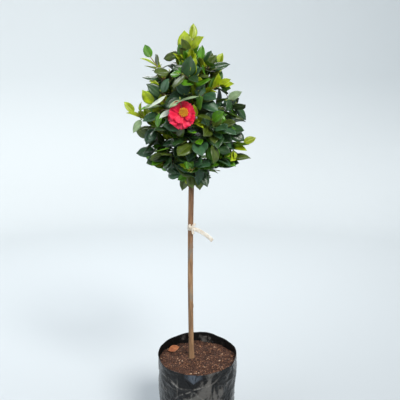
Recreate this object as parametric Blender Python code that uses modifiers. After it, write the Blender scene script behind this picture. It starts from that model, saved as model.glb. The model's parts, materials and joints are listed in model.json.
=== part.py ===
"""A camellia grown as a standard: a ball of leafy shoots on a clear trunk, potted in a planter bag.

Metres, +Z up. The origin is on the flat underside of the bag, at its middle. The front faces -Y.
"""

import math
import random
from typing import NamedTuple

import bmesh
import bpy
import numpy as np
from mathutils import Matrix, Vector
from mathutils.bvhtree import BVHTree
from mathutils.kdtree import KDTree

# Whole plant
GAP = 0.0003  # left between two solids that meet
WELD = 0.00001  # points this close are one
SOIL_LEVEL = 0.317  # height of the potting mix
CROWN_FOOT = 0.955  # the lowest leaves
CROWN_HEAD = 1.475  # top of the rounded crown, which the leading shoots stand out of
CROWN_REACH = 0.188  # radius of the crown where it is widest
CROWN_X = -0.019  # the crown's axis stands a little left of the bag's middle

# Planter bag
BAG_TOP_RADIUS = 0.1463
BAG_FOOT_RADIUS = 0.131
BAG_EDGE = 0.016  # rounding between side and underside
BAG_RIM = 0.337  # mean height of its uneven rim
BAG_RIM_SWAY = 0.0185  # how far the rim rises at the back and sinks at the front
BAG_RIM_WAVE = 0.0018
BAG_FILM = 0.002
BAG_CREASE = 0.0016  # depth of the broad folds in the side
BAG_COLLAR = 0.29  # above this height the side stretches up or down to the rim
BAG_STEPS = 24
BAG_ROWS = 4

# Potting mix
SOIL_BUMP = 0.0045
SOIL_PAD = 0.024  # level ground round the trunk's foot
SOIL_RINGS = 4
SOIL_CLEARANCE = 0.0014  # to the inside of the bag
SOIL_EDGE_DROP = 0.003

# Trunk
TRUNK_FOOT = Vector((-0.0212, 0.0, SOIL_LEVEL + GAP))
TRUNK_TOP = Vector((-0.0185, 0.0, 1.05))
TRUNK_BOW = -0.0045  # sideways bow at half height
TRUNK_RADIUS = 0.0094
TRUNK_TOP_RADIUS = 0.0100
TRUNK_FLARE = 0.0015  # added to the radius at the ground
TRUNK_FLARE_HEIGHT = 0.03
TRUNK_STEPS = 16
TRUNK_RESOLUTION = 3

# Boughs
LIMB_BOW = 0.10  # how far a bough sags outwards of a straight line, in parts of its length
LIMB_STEPS = 4
LIMB_RESOLUTION = 1

# Shoots and leaves
STEM_RADIUS = 0.0034
TWIG_RADIUS = 0.0021
TWIG_TIP_RADIUS = 0.0014
STEM_STEPS = 5
TWIG_STEPS = 2
LEAF_GAP = 0.0185  # between the leaves along a shoot
LEAF_TURN = math.radians(144.0)  # each leaf stands two fifths of a turn from the last
OLD_LEAF = (0.068, 0.086)  # shortest and longest
OLD_LEAF_WIDTH = 0.66  # in parts of the length
YOUNG_LEAF = (0.048, 0.062)
YOUNG_LEAF_WIDTH = 0.52
LEAF_THICKNESS = 0.022
LEAF_WIDEST = 0.42  # how far along
LEAF_FOLD = 0.22  # rise of the edges above the rib, in parts of the half width
FIRST_LEAF = 0.14  # how far along the stem the leaves start
LEAF_OVERHANG = 0.014  # how far a leaf may reach past the edge of its mass's space
TWIG_TRIES = 18
TWIG_CLEARANCE = 1.5  # in parts of a twig's radius
LOW_HANG = 2.2  # how much more the leaves hang in the lowest part of the crown
LOW_HEIGHT = 0.2
LEAF_TRIES = 30
FILL_TRIES = 150  # more leaves are tried at random places until the mass has its number
MASS_LEAVES = 20
SEAM_RATIO = 0.9  # of the triangles stay where leaves and twigs are fused
LIGHT = Vector((0.0, -0.5, 0.6))  # the upper faces turn this way
SKIRT_RISE = 0.09  # how much higher the lowest leaves hang at the crown's side than at the trunk
SKIRT_START = 0.02
SKIRT_END = 0.15
SPACE_PARTS = (0.35, 0.7, 1.0)  # where along the way to each leading shoot's tip a mass's own points lie
CELL_MARGIN = 0.0012  # each mass stays this far inside its own space
LIMB_MARGIN = 0.0015
TIP_TRIES = 90

# Flower
FLOWER_MASS = "foliage_front"
FLOWER_PLACE = Vector((-0.0455, -0.166, 1.222))
FLOWER_FACE = Vector((0.06, -1.0, 0.16)).normalized()
FLOWER_RADIUS = 0.044
FLOWER_PETALS = 6
PETAL_LIFT = 0.32  # how far a petal's tip stands forward, in parts of the flower's radius
PETAL_THICKNESS = 0.0022
BOSS_RADIUS = 0.0125
BOSS_LENGTH = 0.017

# Label
LABEL_HEIGHT = 0.815
LABEL_WIDTH = 0.015
LABEL_THICKNESS = 0.0009
LABEL_CLEARANCE = 0.0014
LABEL_START = math.radians(25.0)  # where the loop starts, and where its tail leaves it
LABEL_END = math.radians(262.0)
LABEL_TAIL = 0.088
LABEL_DROP = 0.034


class Limb(NamedTuple):
    """One bough: where it leaves its parent, its tip, and its radius at each end."""

    name: str
    parent: str
    along: float
    tip: tuple
    foot_radius: float
    tip_radius: float


class Mass(NamedTuple):
    """One mass of foliage on a bough's tip, with its leading shoots: (x, y, z, youth) of their last leaf."""

    name: str
    limb: str
    leads: tuple
    more: int


class Leaf(NamedTuple):
    """A leaf's place: its foot, the way it points, the way its upper face looks, its size, and its youth."""

    foot: Vector
    axis: Vector
    face: Vector
    length: float
    width: float
    droop: float
    youth: float


LIMBS = (
    Limb("bough_leader", "trunk", 0.985, (-0.040, 0.003, 1.250), 0.0066, 0.0036),
    Limb("bough_left", "trunk", 0.955, (-0.056, -0.001, 1.061), 0.0052, 0.0034),
    Limb("bough_right", "trunk", 0.965, (0.011, 0.002, 1.071), 0.0052, 0.0034),
    Limb("bough_front", "trunk", 0.975, (-0.023, -0.030, 1.071), 0.0050, 0.0034),
    Limb("bough_back", "trunk", 0.972, (-0.019, 0.030, 1.077), 0.0050, 0.0034),
    Limb("bough_back_left", "trunk", 0.942, (-0.048, 0.021, 1.048), 0.0046, 0.0034),
    Limb("bough_back_right", "trunk", 0.948, (0.008, 0.022, 1.054), 0.0046, 0.0034),
    Limb("bough_low_left", "trunk", 0.915, (-0.039, -0.013, 0.991), 0.0042, 0.0032),
    Limb("bough_low_right", "trunk", 0.925, (0.006, -0.005, 1.004), 0.0042, 0.0032),
    Limb("bough_low_front", "trunk", 0.905, (-0.014, -0.018, 0.985), 0.0040, 0.0032),
    Limb("bough_low_back", "trunk", 0.905, (-0.024, 0.019, 0.979), 0.0042, 0.0032),
    Limb("bough_left_front", "bough_left", 0.420, (-0.058, -0.027, 1.117), 0.0040, 0.0032),
    Limb("bough_right_front", "bough_right", 0.400, (0.017, -0.032, 1.092), 0.0040, 0.0032),
    Limb("bough_top_left", "bough_leader", 0.450, (-0.067, 0.001, 1.218), 0.0042, 0.0032),
    Limb("bough_top_right", "bough_leader", 0.500, (-0.005, 0.002, 1.218), 0.0042, 0.0032),
    Limb("bough_top_front", "bough_leader", 0.620, (-0.026, -0.030, 1.208), 0.0040, 0.0032),
    Limb("bough_top_back", "bough_leader", 0.580, (-0.030, 0.032, 1.213), 0.0040, 0.0032),
)

MASSES = (
    Mass(
        "foliage_leader",
        "bough_leader",
        ((-0.012, 0.000, 1.514, 0.6), (-0.034, -0.035, 1.430, 1.0), (-0.060, -0.010, 1.455, 0.9)),
        4,
    ),
    Mass(
        "foliage_top_left",
        "bough_top_left",
        ((-0.176, 0.000, 1.450, 0.7), (-0.104, -0.040, 1.405, 0.2), (-0.152, -0.030, 1.362, 0.0)),
        4,
    ),
    Mass(
        "foliage_top_right",
        "bough_top_right",
        ((0.018, -0.020, 1.441, 1.0), (0.090, 0.030, 1.419, 1.0), (0.104, -0.030, 1.343, 0.8)),
        5,
    ),
    Mass(
        "foliage_top_front",
        "bough_top_front",
        (
            (-0.008, -0.115, 1.385, 1.0),
            (0.050, -0.125, 1.300, 0.0),
            (-0.050, -0.135, 1.285, 0.0),
            (0.015, -0.070, 1.255, 0.0),
        ),
        3,
    ),
    Mass(
        "foliage_top_back",
        "bough_top_back",
        ((-0.030, 0.110, 1.420, 0.8), (0.040, 0.100, 1.385, 0.3)),
        6,
    ),
    Mass(
        "foliage_left_front",
        "bough_left_front",
        (
            (-0.146, -0.060, 1.335, 0.8),
            (-0.171, -0.075, 1.288, 0.6),
            (-0.160, -0.100, 1.232, 0.1),
            (-0.090, -0.080, 1.160, 0.0),
        ),
        3,
    ),
    Mass(
        "foliage_left",
        "bough_left",
        ((-0.248, -0.020, 1.255, 1.0), (-0.221, 0.000, 1.150, 0.2), (-0.178, -0.045, 1.232, 0.9)),
        4,
    ),
    Mass(
        "foliage_front",
        "bough_front",
        (
            (0.012, -0.172, 1.275, 0.3),
            (-0.118, -0.150, 1.190, 0.1),
            (0.006, -0.190, 1.120, 0.0),
            (-0.010, -0.100, 1.170, 0.0),
        ),
        4,
    ),
    Mass(
        "foliage_right_front",
        "bough_right_front",
        (
            (0.104, -0.130, 1.210, 0.2),
            (0.062, -0.172, 1.225, 0.2),
            (0.078, -0.160, 1.105, 0.0),
            (0.040, -0.080, 1.210, 0.0),
            (0.035, -0.090, 1.120, 0.0),
        ),
        3,
    ),
    Mass(
        "foliage_right",
        "bough_right",
        ((0.156, -0.020, 1.300, 0.3), (0.146, -0.060, 1.190, 0.0), (0.075, -0.040, 1.285, 0.0)),
        4,
    ),
    Mass(
        "foliage_low_right",
        "bough_low_right",
        (
            (0.196, -0.020, 1.146, 0.8),
            (0.174, -0.040, 1.070, 0.0),
            (0.086, -0.090, 1.065, 0.0),
            (0.036, -0.010, 1.040, 0.0),
        ),
        3,
    ),
    Mass(
        "foliage_low_front",
        "bough_low_front",
        (
            (0.026, -0.125, 1.085, 0.0),
            (0.018, -0.036, 1.035, 0.1),
            (-0.046, -0.040, 1.030, 0.1),
            (-0.050, -0.125, 1.090, 0.0),
            (-0.012, -0.085, 1.055, 0.0),
        ),
        3,
    ),
    Mass(
        "foliage_low_left",
        "bough_low_left",
        (
            (-0.160, -0.070, 1.095, 0.0),
            (-0.192, 0.020, 1.115, 0.1),
            (-0.104, -0.080, 1.070, 0.0),
            (-0.125, -0.110, 1.125, 0.0),
            (-0.070, -0.015, 1.040, 0.0),
        ),
        2,
    ),
    Mass("foliage_back", "bough_back", ((-0.020, 0.185, 1.225, 0.1), (-0.030, 0.165, 1.300, 0.7)), 5),
    Mass(
        "foliage_low_back",
        "bough_low_back",
        ((-0.060, 0.120, 1.100, 0.0), (0.016, 0.050, 1.040, 0.0), (-0.055, 0.050, 1.035, 0.0)),
        4,
    ),
    Mass("foliage_back_left", "bough_back_left", ((-0.170, 0.130, 1.240, 0.6),), 6),
    Mass("foliage_back_right", "bough_back_right", ((0.140, 0.120, 1.230, 0.5),), 6),
)


def material(name, color, roughness):
    """A plain Principled finish."""
    finish = bpy.data.materials.new(name)
    finish.use_nodes = True
    shader = finish.node_tree.nodes["Principled BSDF"]
    shader.inputs["Base Color"].default_value = (*color, 1.0)
    shader.inputs["Roughness"].default_value = roughness
    shader.inputs["Metallic"].default_value = 0.0
    finish.diffuse_color = (*color, 1.0)
    return finish


def collection(name):
    """A new collection in the scene."""
    made = bpy.data.collections.new(name)
    bpy.context.scene.collection.children.link(made)
    return made


def put(name, data, into, finish=None):
    """An object that shows the data, in a collection."""
    made = bpy.data.objects.new(name, data)
    into.objects.link(made)
    if finish:
        data.materials.append(finish)
    return made


def evaluated_mesh(made, weld=WELD):
    """The object's mesh with its modifiers applied and its caps welded."""
    bpy.context.view_layer.update()
    graph = bpy.context.evaluated_depsgraph_get()
    mesh = bpy.data.meshes.new_from_object(made.evaluated_get(graph))
    work = bmesh.new()
    work.from_mesh(mesh)
    bmesh.ops.remove_doubles(work, verts=work.verts, dist=weld)
    work.to_mesh(mesh)
    work.free()
    return mesh


def tube_curve(name, points, radii, profile=None, resolution=LIMB_RESOLUTION):
    """A curve along the points, round, or with the profile's outline."""
    curve = bpy.data.curves.new(name, "CURVE")
    curve.dimensions = "3D"
    curve.use_fill_caps = True
    if profile:
        curve.bevel_mode = "OBJECT"
        curve.bevel_object = profile
    else:
        curve.bevel_depth = 1.0
        curve.bevel_resolution = resolution
    spline = curve.splines.new("POLY")
    spline.points.add(len(points) - 1)
    for point, place, radius in zip(spline.points, points, radii):
        point.co = (*place, 1.0)
        point.radius = radius
    return curve


def tube_object(name, points, radii, into, profile=None, resolution=LIMB_RESOLUTION):
    """The same as a mesh object."""
    made = put(name, tube_curve(name, points, radii, profile, resolution), into)
    mesh = evaluated_mesh(made)
    bpy.data.objects.remove(made)
    return put(name, mesh, into)


def bend(start, middle, end, steps):
    """Points on a quadratic curve."""
    found = []
    for i in range(steps + 1):
        t = i / steps
        found.append(start * (1 - t) ** 2 + middle * 2 * t * (1 - t) + end * t**2)
    return found


def tapered(first, last, count):
    """Evenly changing radii."""
    return [first + (last - first) * i / (count - 1) for i in range(count)]


def along(points, fraction):
    """The point at a fraction of the way along, and the direction there."""
    place = min(max(fraction, 0.0), 0.9999) * (len(points) - 1)
    i = int(place)
    step = points[i + 1] - points[i]
    return points[i] + step * (place - i), step.normalized()


def length_of(points):
    """The length along the points."""
    return sum((b - a).length for a, b in zip(points, points[1:]))


def across(vector, axis):
    """The unit part of the vector that is square to the axis."""
    return (vector - axis * vector.dot(axis)).normalized()


# Bag, potting mix and label


def smooth(t):
    """An even step from 0 to 1."""
    t = min(max(t, 0.0), 1.0)
    return t * t * (3.0 - 2.0 * t)


def bag_radius(angle, height):
    """The bag's outer radius: wider at the top, with broad folds that fade at the underside."""
    t = height / BAG_RIM
    folds = math.sin(3.0 * angle + 9.0 * t) + 0.7 * math.sin(7.0 * angle - 14.0 * t + 1.0)
    fold = BAG_CREASE * folds * smooth(height / (3.0 * BAG_EDGE))
    return bag_cone(height) + fold


def bag_cone(height):
    """The same with no folds."""
    widening = math.sin(0.5 * math.pi * height / BAG_RIM)
    return BAG_FOOT_RADIUS + (BAG_TOP_RADIUS - BAG_FOOT_RADIUS) * widening


def rim_height(angle):
    """The rim stands up at the back and lies level with the potting mix in front."""
    wave = math.sin(5.0 * angle + 0.6) + 0.6 * math.sin(11.0 * angle)
    return BAG_RIM + BAG_RIM_SWAY * math.sin(angle) + BAG_RIM_WAVE * wave * (0.6 + 0.4 * math.sin(angle))


def turned(name, profile, steps, into):
    """A profile of (radius, height) points, turned round the Z axis."""
    work = bmesh.new()
    verts = [work.verts.new((radius, 0.0, height)) for radius, height in profile]
    for a, b in zip(verts, verts[1:]):
        work.edges.new((a, b))
    mesh = bpy.data.meshes.new(name)
    work.to_mesh(mesh)
    work.free()
    made = put(name, mesh, into)
    screw = made.modifiers.new("turn", "SCREW")
    screw.steps = steps
    screw.render_steps = steps
    screw.use_merge_vertices = True
    screw.merge_threshold = WELD
    mesh = evaluated_mesh(made)
    made.modifiers.remove(screw)
    made.data = mesh
    return made


def bag_profile(top, inset):
    """From the top down the side, round the edge and in to the axis, set in by a thickness."""
    rows = [BAG_COLLAR - (BAG_COLLAR - BAG_EDGE) * i / BAG_ROWS for i in range(BAG_ROWS + 1)]
    found = [(bag_cone(height) - inset, height) for height in [top, *rows]]
    found.append((BAG_FOOT_RADIUS - 0.3 * BAG_EDGE - inset, 0.3 * BAG_EDGE + 0.3 * inset))
    found.append((BAG_FOOT_RADIUS - BAG_EDGE - inset, inset))
    found.append((0.0, inset))
    return found


def make_bag(plant, finish):
    """The bag: a turned film, folded, with its rim raised and lowered, then thickened inwards."""
    bag = turned("nursery_bag", bag_profile(BAG_RIM, 0.0), BAG_STEPS, plant)
    for vert in bag.data.vertices:
        x, y, z = vert.co
        radius = math.hypot(x, y)
        if radius < 1e-6:
            continue
        angle = math.atan2(y, x)
        wider = 1.0 + (bag_radius(angle, z) - bag_cone(z)) / radius
        vert.co = (x * wider, y * wider, rim_height(angle) if z > BAG_RIM - 1e-4 else z)
    bag.data.materials.append(finish)
    shell = bag.modifiers.new("film", "SOLIDIFY")
    shell.thickness = BAG_FILM
    shell.offset = -1.0
    shell.use_even_offset = True


def wall_radius(angle, height):
    """The outer radius of the bag as it is faceted between the collar and the rim."""
    t = (height - BAG_COLLAR) / (rim_height(angle) - BAG_COLLAR)
    return bag_radius(angle, BAG_COLLAR) * (1.0 - t) + bag_radius(angle, BAG_RIM) * t


def soil_height(x, y):
    """The rough top of the potting mix, level round the trunk's foot."""
    away = math.hypot(x - TRUNK_FOOT.x, y - TRUNK_FOOT.y)
    bumps = math.sin(61.0 * x + 2.0) * math.cos(47.0 * y) + 0.7 * math.sin(95.0 * y + 40.0 * x)
    return SOIL_LEVEL + SOIL_BUMP * 0.6 * bumps * smooth((away - SOIL_PAD) / 0.03)


def make_soil(plant, finish):
    """The potting mix: fills the bag up to its rough top."""
    inset = BAG_FILM + SOIL_CLEARANCE
    side = bag_profile(SOIL_LEVEL, inset)
    edge = side[0][0]
    top = [(edge * i / SOIL_RINGS, SOIL_LEVEL) for i in range(SOIL_RINGS)]
    soil = turned("potting_soil", [*top, *side], BAG_STEPS, plant)
    for vert in soil.data.vertices:
        x, y, z = vert.co
        radius = math.hypot(x, y)
        if radius < 1e-6 or z < 2.0 * inset:
            continue
        angle = math.atan2(y, x)
        if z < SOIL_LEVEL - 1e-4:
            wider = 1.0 + (bag_radius(angle, z) - bag_cone(z)) / radius
            vert.co = (x * wider, y * wider, z)
        else:
            wider = (wall_radius(angle, z) - inset) / edge
            low = SOIL_EDGE_DROP * smooth(radius / edge * 4.0 - 3.0)
            vert.co = (x * wider, y * wider, soil_height(x, y) - low)
    soil.data.materials.append(finish)


def make_label(plant, cutters, finish):
    """A blank strip looped round the trunk, with a tail that hangs down to the right."""
    height = LABEL_HEIGHT
    t = (height - TRUNK_FOOT.z) / (TRUNK_TOP.z - TRUNK_FOOT.z)
    middle, _ = along(trunk_points(), t ** (1 / 1.5))
    radius = trunk_radius(height) + LABEL_CLEARANCE + 0.5 * LABEL_THICKNESS
    points = []
    for i in range(15):
        angle = LABEL_START + (LABEL_END - LABEL_START) * i / 14
        points.append(Vector((middle.x + radius * math.cos(angle), radius * math.sin(angle), height)))
    leave = Vector((-math.sin(LABEL_END), math.cos(LABEL_END), 0.0))
    last = points[-1]
    for i in range(1, 10):
        t = i / 9
        fall = Vector((0.0, -0.012 * t**2, -LABEL_DROP * t**1.7))
        points.append(last + leave * LABEL_TAIL * t * (1.0 - 0.08 * t) + fall)
    outline = bpy.data.curves.new("label_outline", "CURVE")
    outline.dimensions = "2D"
    spline = outline.splines.new("POLY")
    spline.points.add(3)
    corners = ((-1, -1), (-1, 1), (1, 1), (1, -1))
    for point, (across_way, up_way) in zip(spline.points, corners):
        point.co = (across_way * 0.5 * LABEL_THICKNESS, up_way * 0.5 * LABEL_WIDTH, 0.0, 1.0)
    spline.use_cyclic_u = True
    profile = put("label_outline", outline, cutters)
    profile.hide_render = True
    curve = tube_curve("plant_label", points, [1.0] * len(points), profile)
    curve.twist_mode = "Z_UP"
    put("plant_label", curve, plant, finish)


# Trunk and boughs


def trunk_points():
    """The trunk's centre line, bowed a little to one side."""
    found = []
    for i in range(TRUNK_STEPS + 1):
        t = (i / TRUNK_STEPS) ** 1.5
        point = TRUNK_FOOT.lerp(TRUNK_TOP, t)
        point.x += TRUNK_BOW * math.sin(math.pi * t)
        found.append(point)
    return found


def trunk_radius(height):
    """Flared at the ground, then nearly even."""
    t = (height - TRUNK_FOOT.z) / (TRUNK_TOP.z - TRUNK_FOOT.z)
    flare = TRUNK_FLARE * math.exp(-(height - TRUNK_FOOT.z) / TRUNK_FLARE_HEIGHT)
    return TRUNK_RADIUS + (TRUNK_TOP_RADIUS - TRUNK_RADIUS) * t**2 + flare


def limb_points(limb, lines):
    """A bough's centre line, from its parent's, sagging outwards before it rises."""
    start, _ = along(lines[limb.parent], limb.along)
    end = Vector(limb.tip)
    out = Vector((end.x - start.x, end.y - start.y, 0.0)).normalized()
    sag = (out - Vector((0.0, 0.0, 1.0))) * LIMB_BOW * (end - start).length
    return bend(start, start.lerp(end, 0.5) + sag, end, LIMB_STEPS)


def all_lines():
    """The centre line and radii of the trunk and of each bough, by name."""
    lines = {"trunk": trunk_points()}
    radii = {"trunk": [trunk_radius(point.z) for point in lines["trunk"]]}
    for limb in LIMBS:
        lines[limb.name] = limb_points(limb, lines)
        radii[limb.name] = tapered(limb.foot_radius, limb.tip_radius, LIMB_STEPS + 1)
    return lines, radii


def grown(points, extra):
    """The points with each end moved outwards along the line."""
    first = (points[0] - points[1]).normalized() * extra
    last = (points[-1] - points[-2]).normalized() * extra
    return [points[0] + first, *points[1:-1], points[-1] + last]


def make_limbs(lines, radii, plant, cutters, wood):
    """The trunk as a curve, and each bough as a tube cut clear of its parent."""
    curve = tube_curve("trunk", lines["trunk"], radii["trunk"], resolution=TRUNK_RESOLUTION)
    put("trunk", curve, plant, wood)
    for parent in sorted({limb.parent for limb in LIMBS}):
        wider = [radius + 1.2 * GAP for radius in radii[parent]]
        resolution = TRUNK_RESOLUTION if parent == "trunk" else LIMB_RESOLUTION
        line = grown(lines[parent], GAP)
        cutter = tube_object(f"clear_of_{parent}", line, wider, cutters, resolution=resolution)
        cutter.hide_render = True
        cutter.display_type = "WIRE"
    for limb in LIMBS:
        bough = tube_object(limb.name, lines[limb.name], radii[limb.name], plant)
        bough.data.materials.append(wood)
        cut = bough.modifiers.new("clear of its parent", "BOOLEAN")
        cut.operation = "DIFFERENCE"
        cut.solver = "EXACT"
        cut.object = cutters.objects[f"clear_of_{limb.parent}"]


# Growth of the crown


def crown_radius(height):
    """How far the rounded crown reaches from its axis at a height."""
    t = (height - CROWN_FOOT) / (CROWN_HEAD - CROWN_FOOT)
    if not 0.0 < t < 1.0:
        return 0.0
    return CROWN_REACH * math.sin(math.pi * t**0.75) ** 0.6


def tree_of_points(points):
    """A search tree of points."""
    tree = KDTree(len(points))
    for i, point in enumerate(points):
        tree.insert(point, i)
    tree.balance()
    return tree


def spaces(lines):
    """Each mass's space, by name: search trees of the points that it grows round and of the others'."""
    own = {}
    for mass in MASSES:
        root = lines[mass.limb][-1]
        own[mass.name] = [root]
        for lead in mass.leads:
            own[mass.name] += [root.lerp(Vector(lead[:3]), part) for part in SPACE_PARTS]
    found = {}
    for name, points in own.items():
        others = [point for other in own if other != name for point in own[other]]
        found[name] = (tree_of_points(points), tree_of_points(others))
    return found


def inside(points, space, margin):
    """Whether all points are nearer to the mass's own points than to another's, by the margin."""
    own, others = space
    return all(others.find(point)[2] - own.find(point)[2] > 2.0 * margin for point in points)


def above_skirt(point):
    """Whether a point is above the crown's underside, a shallow bowl."""
    away = math.hypot(point.x - CROWN_X, point.y)
    rise = SKIRT_RISE * smooth((away - SKIRT_START) / (SKIRT_END - SKIRT_START))
    return point.z > CROWN_FOOT + rise


def leaf_mesh(leaf):
    """A thin pointed leaf of eight faces, folded along its rib, with its tip bent down."""
    work = bmesh.new()
    bmesh.ops.create_uvsphere(work, u_segments=4, v_segments=2, radius=1.0)
    side = leaf.face.cross(leaf.axis)
    for vert in work.verts:
        on_rib = abs(vert.co.z) > 0.5
        t = 0.36 if on_rib else LEAF_WIDEST if abs(vert.co.y) > 0.5 else 0.5 + 0.5 * vert.co.x
        y = 0.0 if on_rib else 0.5 * leaf.width * vert.co.y
        z = 0.5 * LEAF_THICKNESS * leaf.length * vert.co.z + LEAF_FOLD * abs(y)
        z -= leaf.droop * leaf.length * t**2
        vert.co = leaf.foot + leaf.axis * t * leaf.length + side * y + leaf.face * z
    return work


def twig_tree(points, radii, sides=4):
    """A search tree of a rough tube round the points."""
    verts = []
    faces = []
    for i, (point, radius) in enumerate(zip(points, radii)):
        _, way = along(points, i / (len(points) - 1))
        side = way.orthogonal().normalized()
        for k in range(sides):
            verts.append(point + Matrix.Rotation(math.tau * k / sides, 3, way) @ side * radius)
            if i:
                a = sides * i + k
                b = sides * i + (k + 1) % sides
                faces.append((a - sides, b - sides, b, a))
    return BVHTree.FromPolygons(verts, faces)


class Shoot:
    """A twig's line and radii, with the leaves that it carries."""

    def __init__(self, points, radii, youth):
        self.name = ""
        self.points = points
        self.radii = radii
        self.youth = youth
        self.leaves = []


def near_limbs(points, radius, lines, radii, own):
    """Whether a twig's points come too close to the trunk or to a bough other than its own."""
    for name, line in lines.items():
        if name == own:
            continue
        for i in range(13):
            spot, _ = along(line, i / 12)
            room = radii[name][0] + radius + LIMB_MARGIN
            if any((point - spot).length < room for point in points):
                return True
    return False


def leaf_at(shoot, fraction, turn, rng, last, less=1.0):
    """A leaf on the shoot: old ones lean out and hang, young ones stand up."""
    foot, way = along(shoot.points, fraction)
    youth = shoot.youth
    up = Vector((0.0, 0.0, 1.0))
    out = Vector((foot.x - CROWN_X, foot.y, 0.0))
    out = out.normalized() if out.length > 0.02 else Vector((0.0, -1.0, 0.0))
    radial = Matrix.Rotation(turn, 3, way) @ across(up if abs(way.z) < 0.9 else out, way)
    spread = (0.25 if last else 1.0) * (1.0 - 0.45 * youth)
    low = 1.0 - smooth((foot.z - CROWN_FOOT) / LOW_HEIGHT)
    hang = rng.uniform(0.1, 0.85) * (1.0 + LOW_HANG * low) * (1.0 - youth) * less - 0.25 * youth
    axis = way * (0.55 + 0.55 * youth) + radial * spread + out * 0.15 * (1.0 - youth) - up * hang
    axis = axis.normalized()
    look = way * (0.3 + 0.5 * youth) + LIGHT + out * (0.85 - 0.65 * youth)
    face = across(look, axis)
    face = Matrix.Rotation(rng.uniform(-0.6, 0.6), 3, axis) @ face
    old = rng.uniform(*OLD_LEAF)
    young = rng.uniform(*YOUNG_LEAF)
    length = young * youth + old * (1.0 - youth)
    if last:
        length *= 0.9
    width = length * (YOUNG_LEAF_WIDTH * youth + OLD_LEAF_WIDTH * (1.0 - youth))
    width *= rng.uniform(0.92, 1.08)
    droop = rng.uniform(0.04, 0.16) * (1.0 - 0.5 * youth)
    return Leaf(foot - axis * 0.0006, axis, face, length, width, droop, youth)


class Crowd:
    """What already stands in the crown, as search trees with their middles, to find near ones fast."""

    def __init__(self):
        self.trees = []
        self.middles = np.empty((0, 3))
        self.reaches = np.empty(0)
        self.owners = []

    def add(self, tree, points, owner):
        """Takes in one more thing."""
        middle = sum(points, Vector()) / len(points)
        self.trees.append(tree)
        self.middles = np.vstack([self.middles, middle])
        self.reaches = np.append(self.reaches, max((point - middle).length for point in points))
        self.owners.append(owner)

    def hit(self, tree, points, spared=()):
        """Whether the tree crosses anything but what the spared owners have."""
        if not self.trees:
            return False
        middle = sum(points, Vector()) / len(points)
        reach = max((point - middle).length for point in points)
        near = np.linalg.norm(self.middles - np.array(middle), axis=1) < self.reaches + reach
        return any(
            self.owners[i] not in spared and tree.overlap(self.trees[i]) for i in np.nonzero(near)[0]
        )


def try_leaf(leaf, space, limbs, twigs, leaves, spared):
    """Puts the leaf among the others, unless it would leave its space or cross something."""
    work = leaf_mesh(leaf)
    tree = BVHTree.FromBMesh(work)
    points = [vert.co.copy() for vert in work.verts]
    work.free()
    if not inside(points, space, -LEAF_OVERHANG) or not all(above_skirt(point) for point in points):
        return False
    if limbs.hit(tree, points) or twigs.hit(tree, points, spared) or leaves.hit(tree, points):
        return False
    leaves.add(tree, points, None)
    return True


def before_flower(leaf):
    """Whether a leaf stands in the flower or before it."""
    for part in (0.3, 0.6, 1.0):
        spot = leaf.foot + leaf.axis * part * leaf.length - FLOWER_PLACE
        depth = spot.dot(FLOWER_FACE)
        if depth > -0.004 and (spot - FLOWER_FACE * depth).length < 0.9 * FLOWER_RADIUS:
            return True
    return False


def add_leaves(shoot, first, rng, space, own, limbs, twigs, leaves):
    """Leaves from a fraction of the shoot to its tip. One that hits something is turned, or left out.

    The later tries let a leaf pass through a twig of its own mass, which it is then fused to.
    """
    length = length_of(shoot.points)
    count = max(3, round(length * (1.0 - first) / LEAF_GAP)) + 1
    turn = rng.uniform(0.0, math.tau)
    for i in range(count):
        last = i == count - 1
        fraction = 0.985 if last else first + (1.0 - first) * (i + 0.2) / count
        turn += LEAF_TURN
        for attempt in range(LEAF_TRIES):
            swing = rng.uniform(-0.3, 0.3) * attempt
            leaf = leaf_at(shoot, fraction, turn + swing, rng, last, 1.0 - attempt / LEAF_TRIES)
            spared = (shoot.name,) if attempt < TWIG_TRIES else own
            if try_leaf(leaf, space, limbs, twigs, leaves, spared):
                shoot.leaves.append(leaf)
                break


def fill(shoots, rng, space, own, limbs, twigs, leaves):
    """More leaves at random places on the mass's shoots, where there is still room."""
    for _ in range(FILL_TRIES):
        if sum(len(shoot.leaves) for shoot in shoots) >= MASS_LEAVES:
            return
        shoot = shoots[rng.randrange(len(shoots))]
        fraction = rng.uniform(FIRST_LEAF, 0.95)
        leaf = leaf_at(shoot, fraction, rng.uniform(0.0, math.tau), rng, False, rng.random())
        if try_leaf(leaf, space, limbs, twigs, leaves, own):
            shoot.leaves.append(leaf)


def lead_shoot(start, way, lead, steps, first_radius):
    """A shoot that sets out one way and ends a leaf's length short of the lead's tip."""
    end = Vector(lead[:3])
    youth = lead[3]
    leaf = 0.75 * sum(YOUNG_LEAF if youth > 0.5 else OLD_LEAF) / 2
    end = end - (end - start).normalized() * min(leaf, 0.35 * (end - start).length)
    if youth < 0.5:
        end.z += 0.25 * leaf
    reach = (end - start).length
    points = bend(start, start + way * 0.4 * reach, end, steps)
    return Shoot(points, tapered(first_radius, TWIG_TIP_RADIUS, len(points)), youth)


def free_tip(rng, space, taken):
    """A tip near the crown's surface, in the mass's space, as far as can be from the tips that are taken."""
    best = None
    most = -1.0
    for _ in range(TIP_TRIES):
        height = rng.uniform(CROWN_FOOT + 0.03, CROWN_HEAD - 0.02)
        angle = rng.uniform(0.0, math.tau)
        reach = crown_radius(height) * rng.uniform(0.35, 1.0)
        tip = Vector((CROWN_X + reach * math.cos(angle), reach * math.sin(angle), height))
        if not inside([tip], space, 0.012):
            continue
        room = min((tip - other).length for other in taken)
        if room > most:
            most = room
            best = tip
    return best


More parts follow.
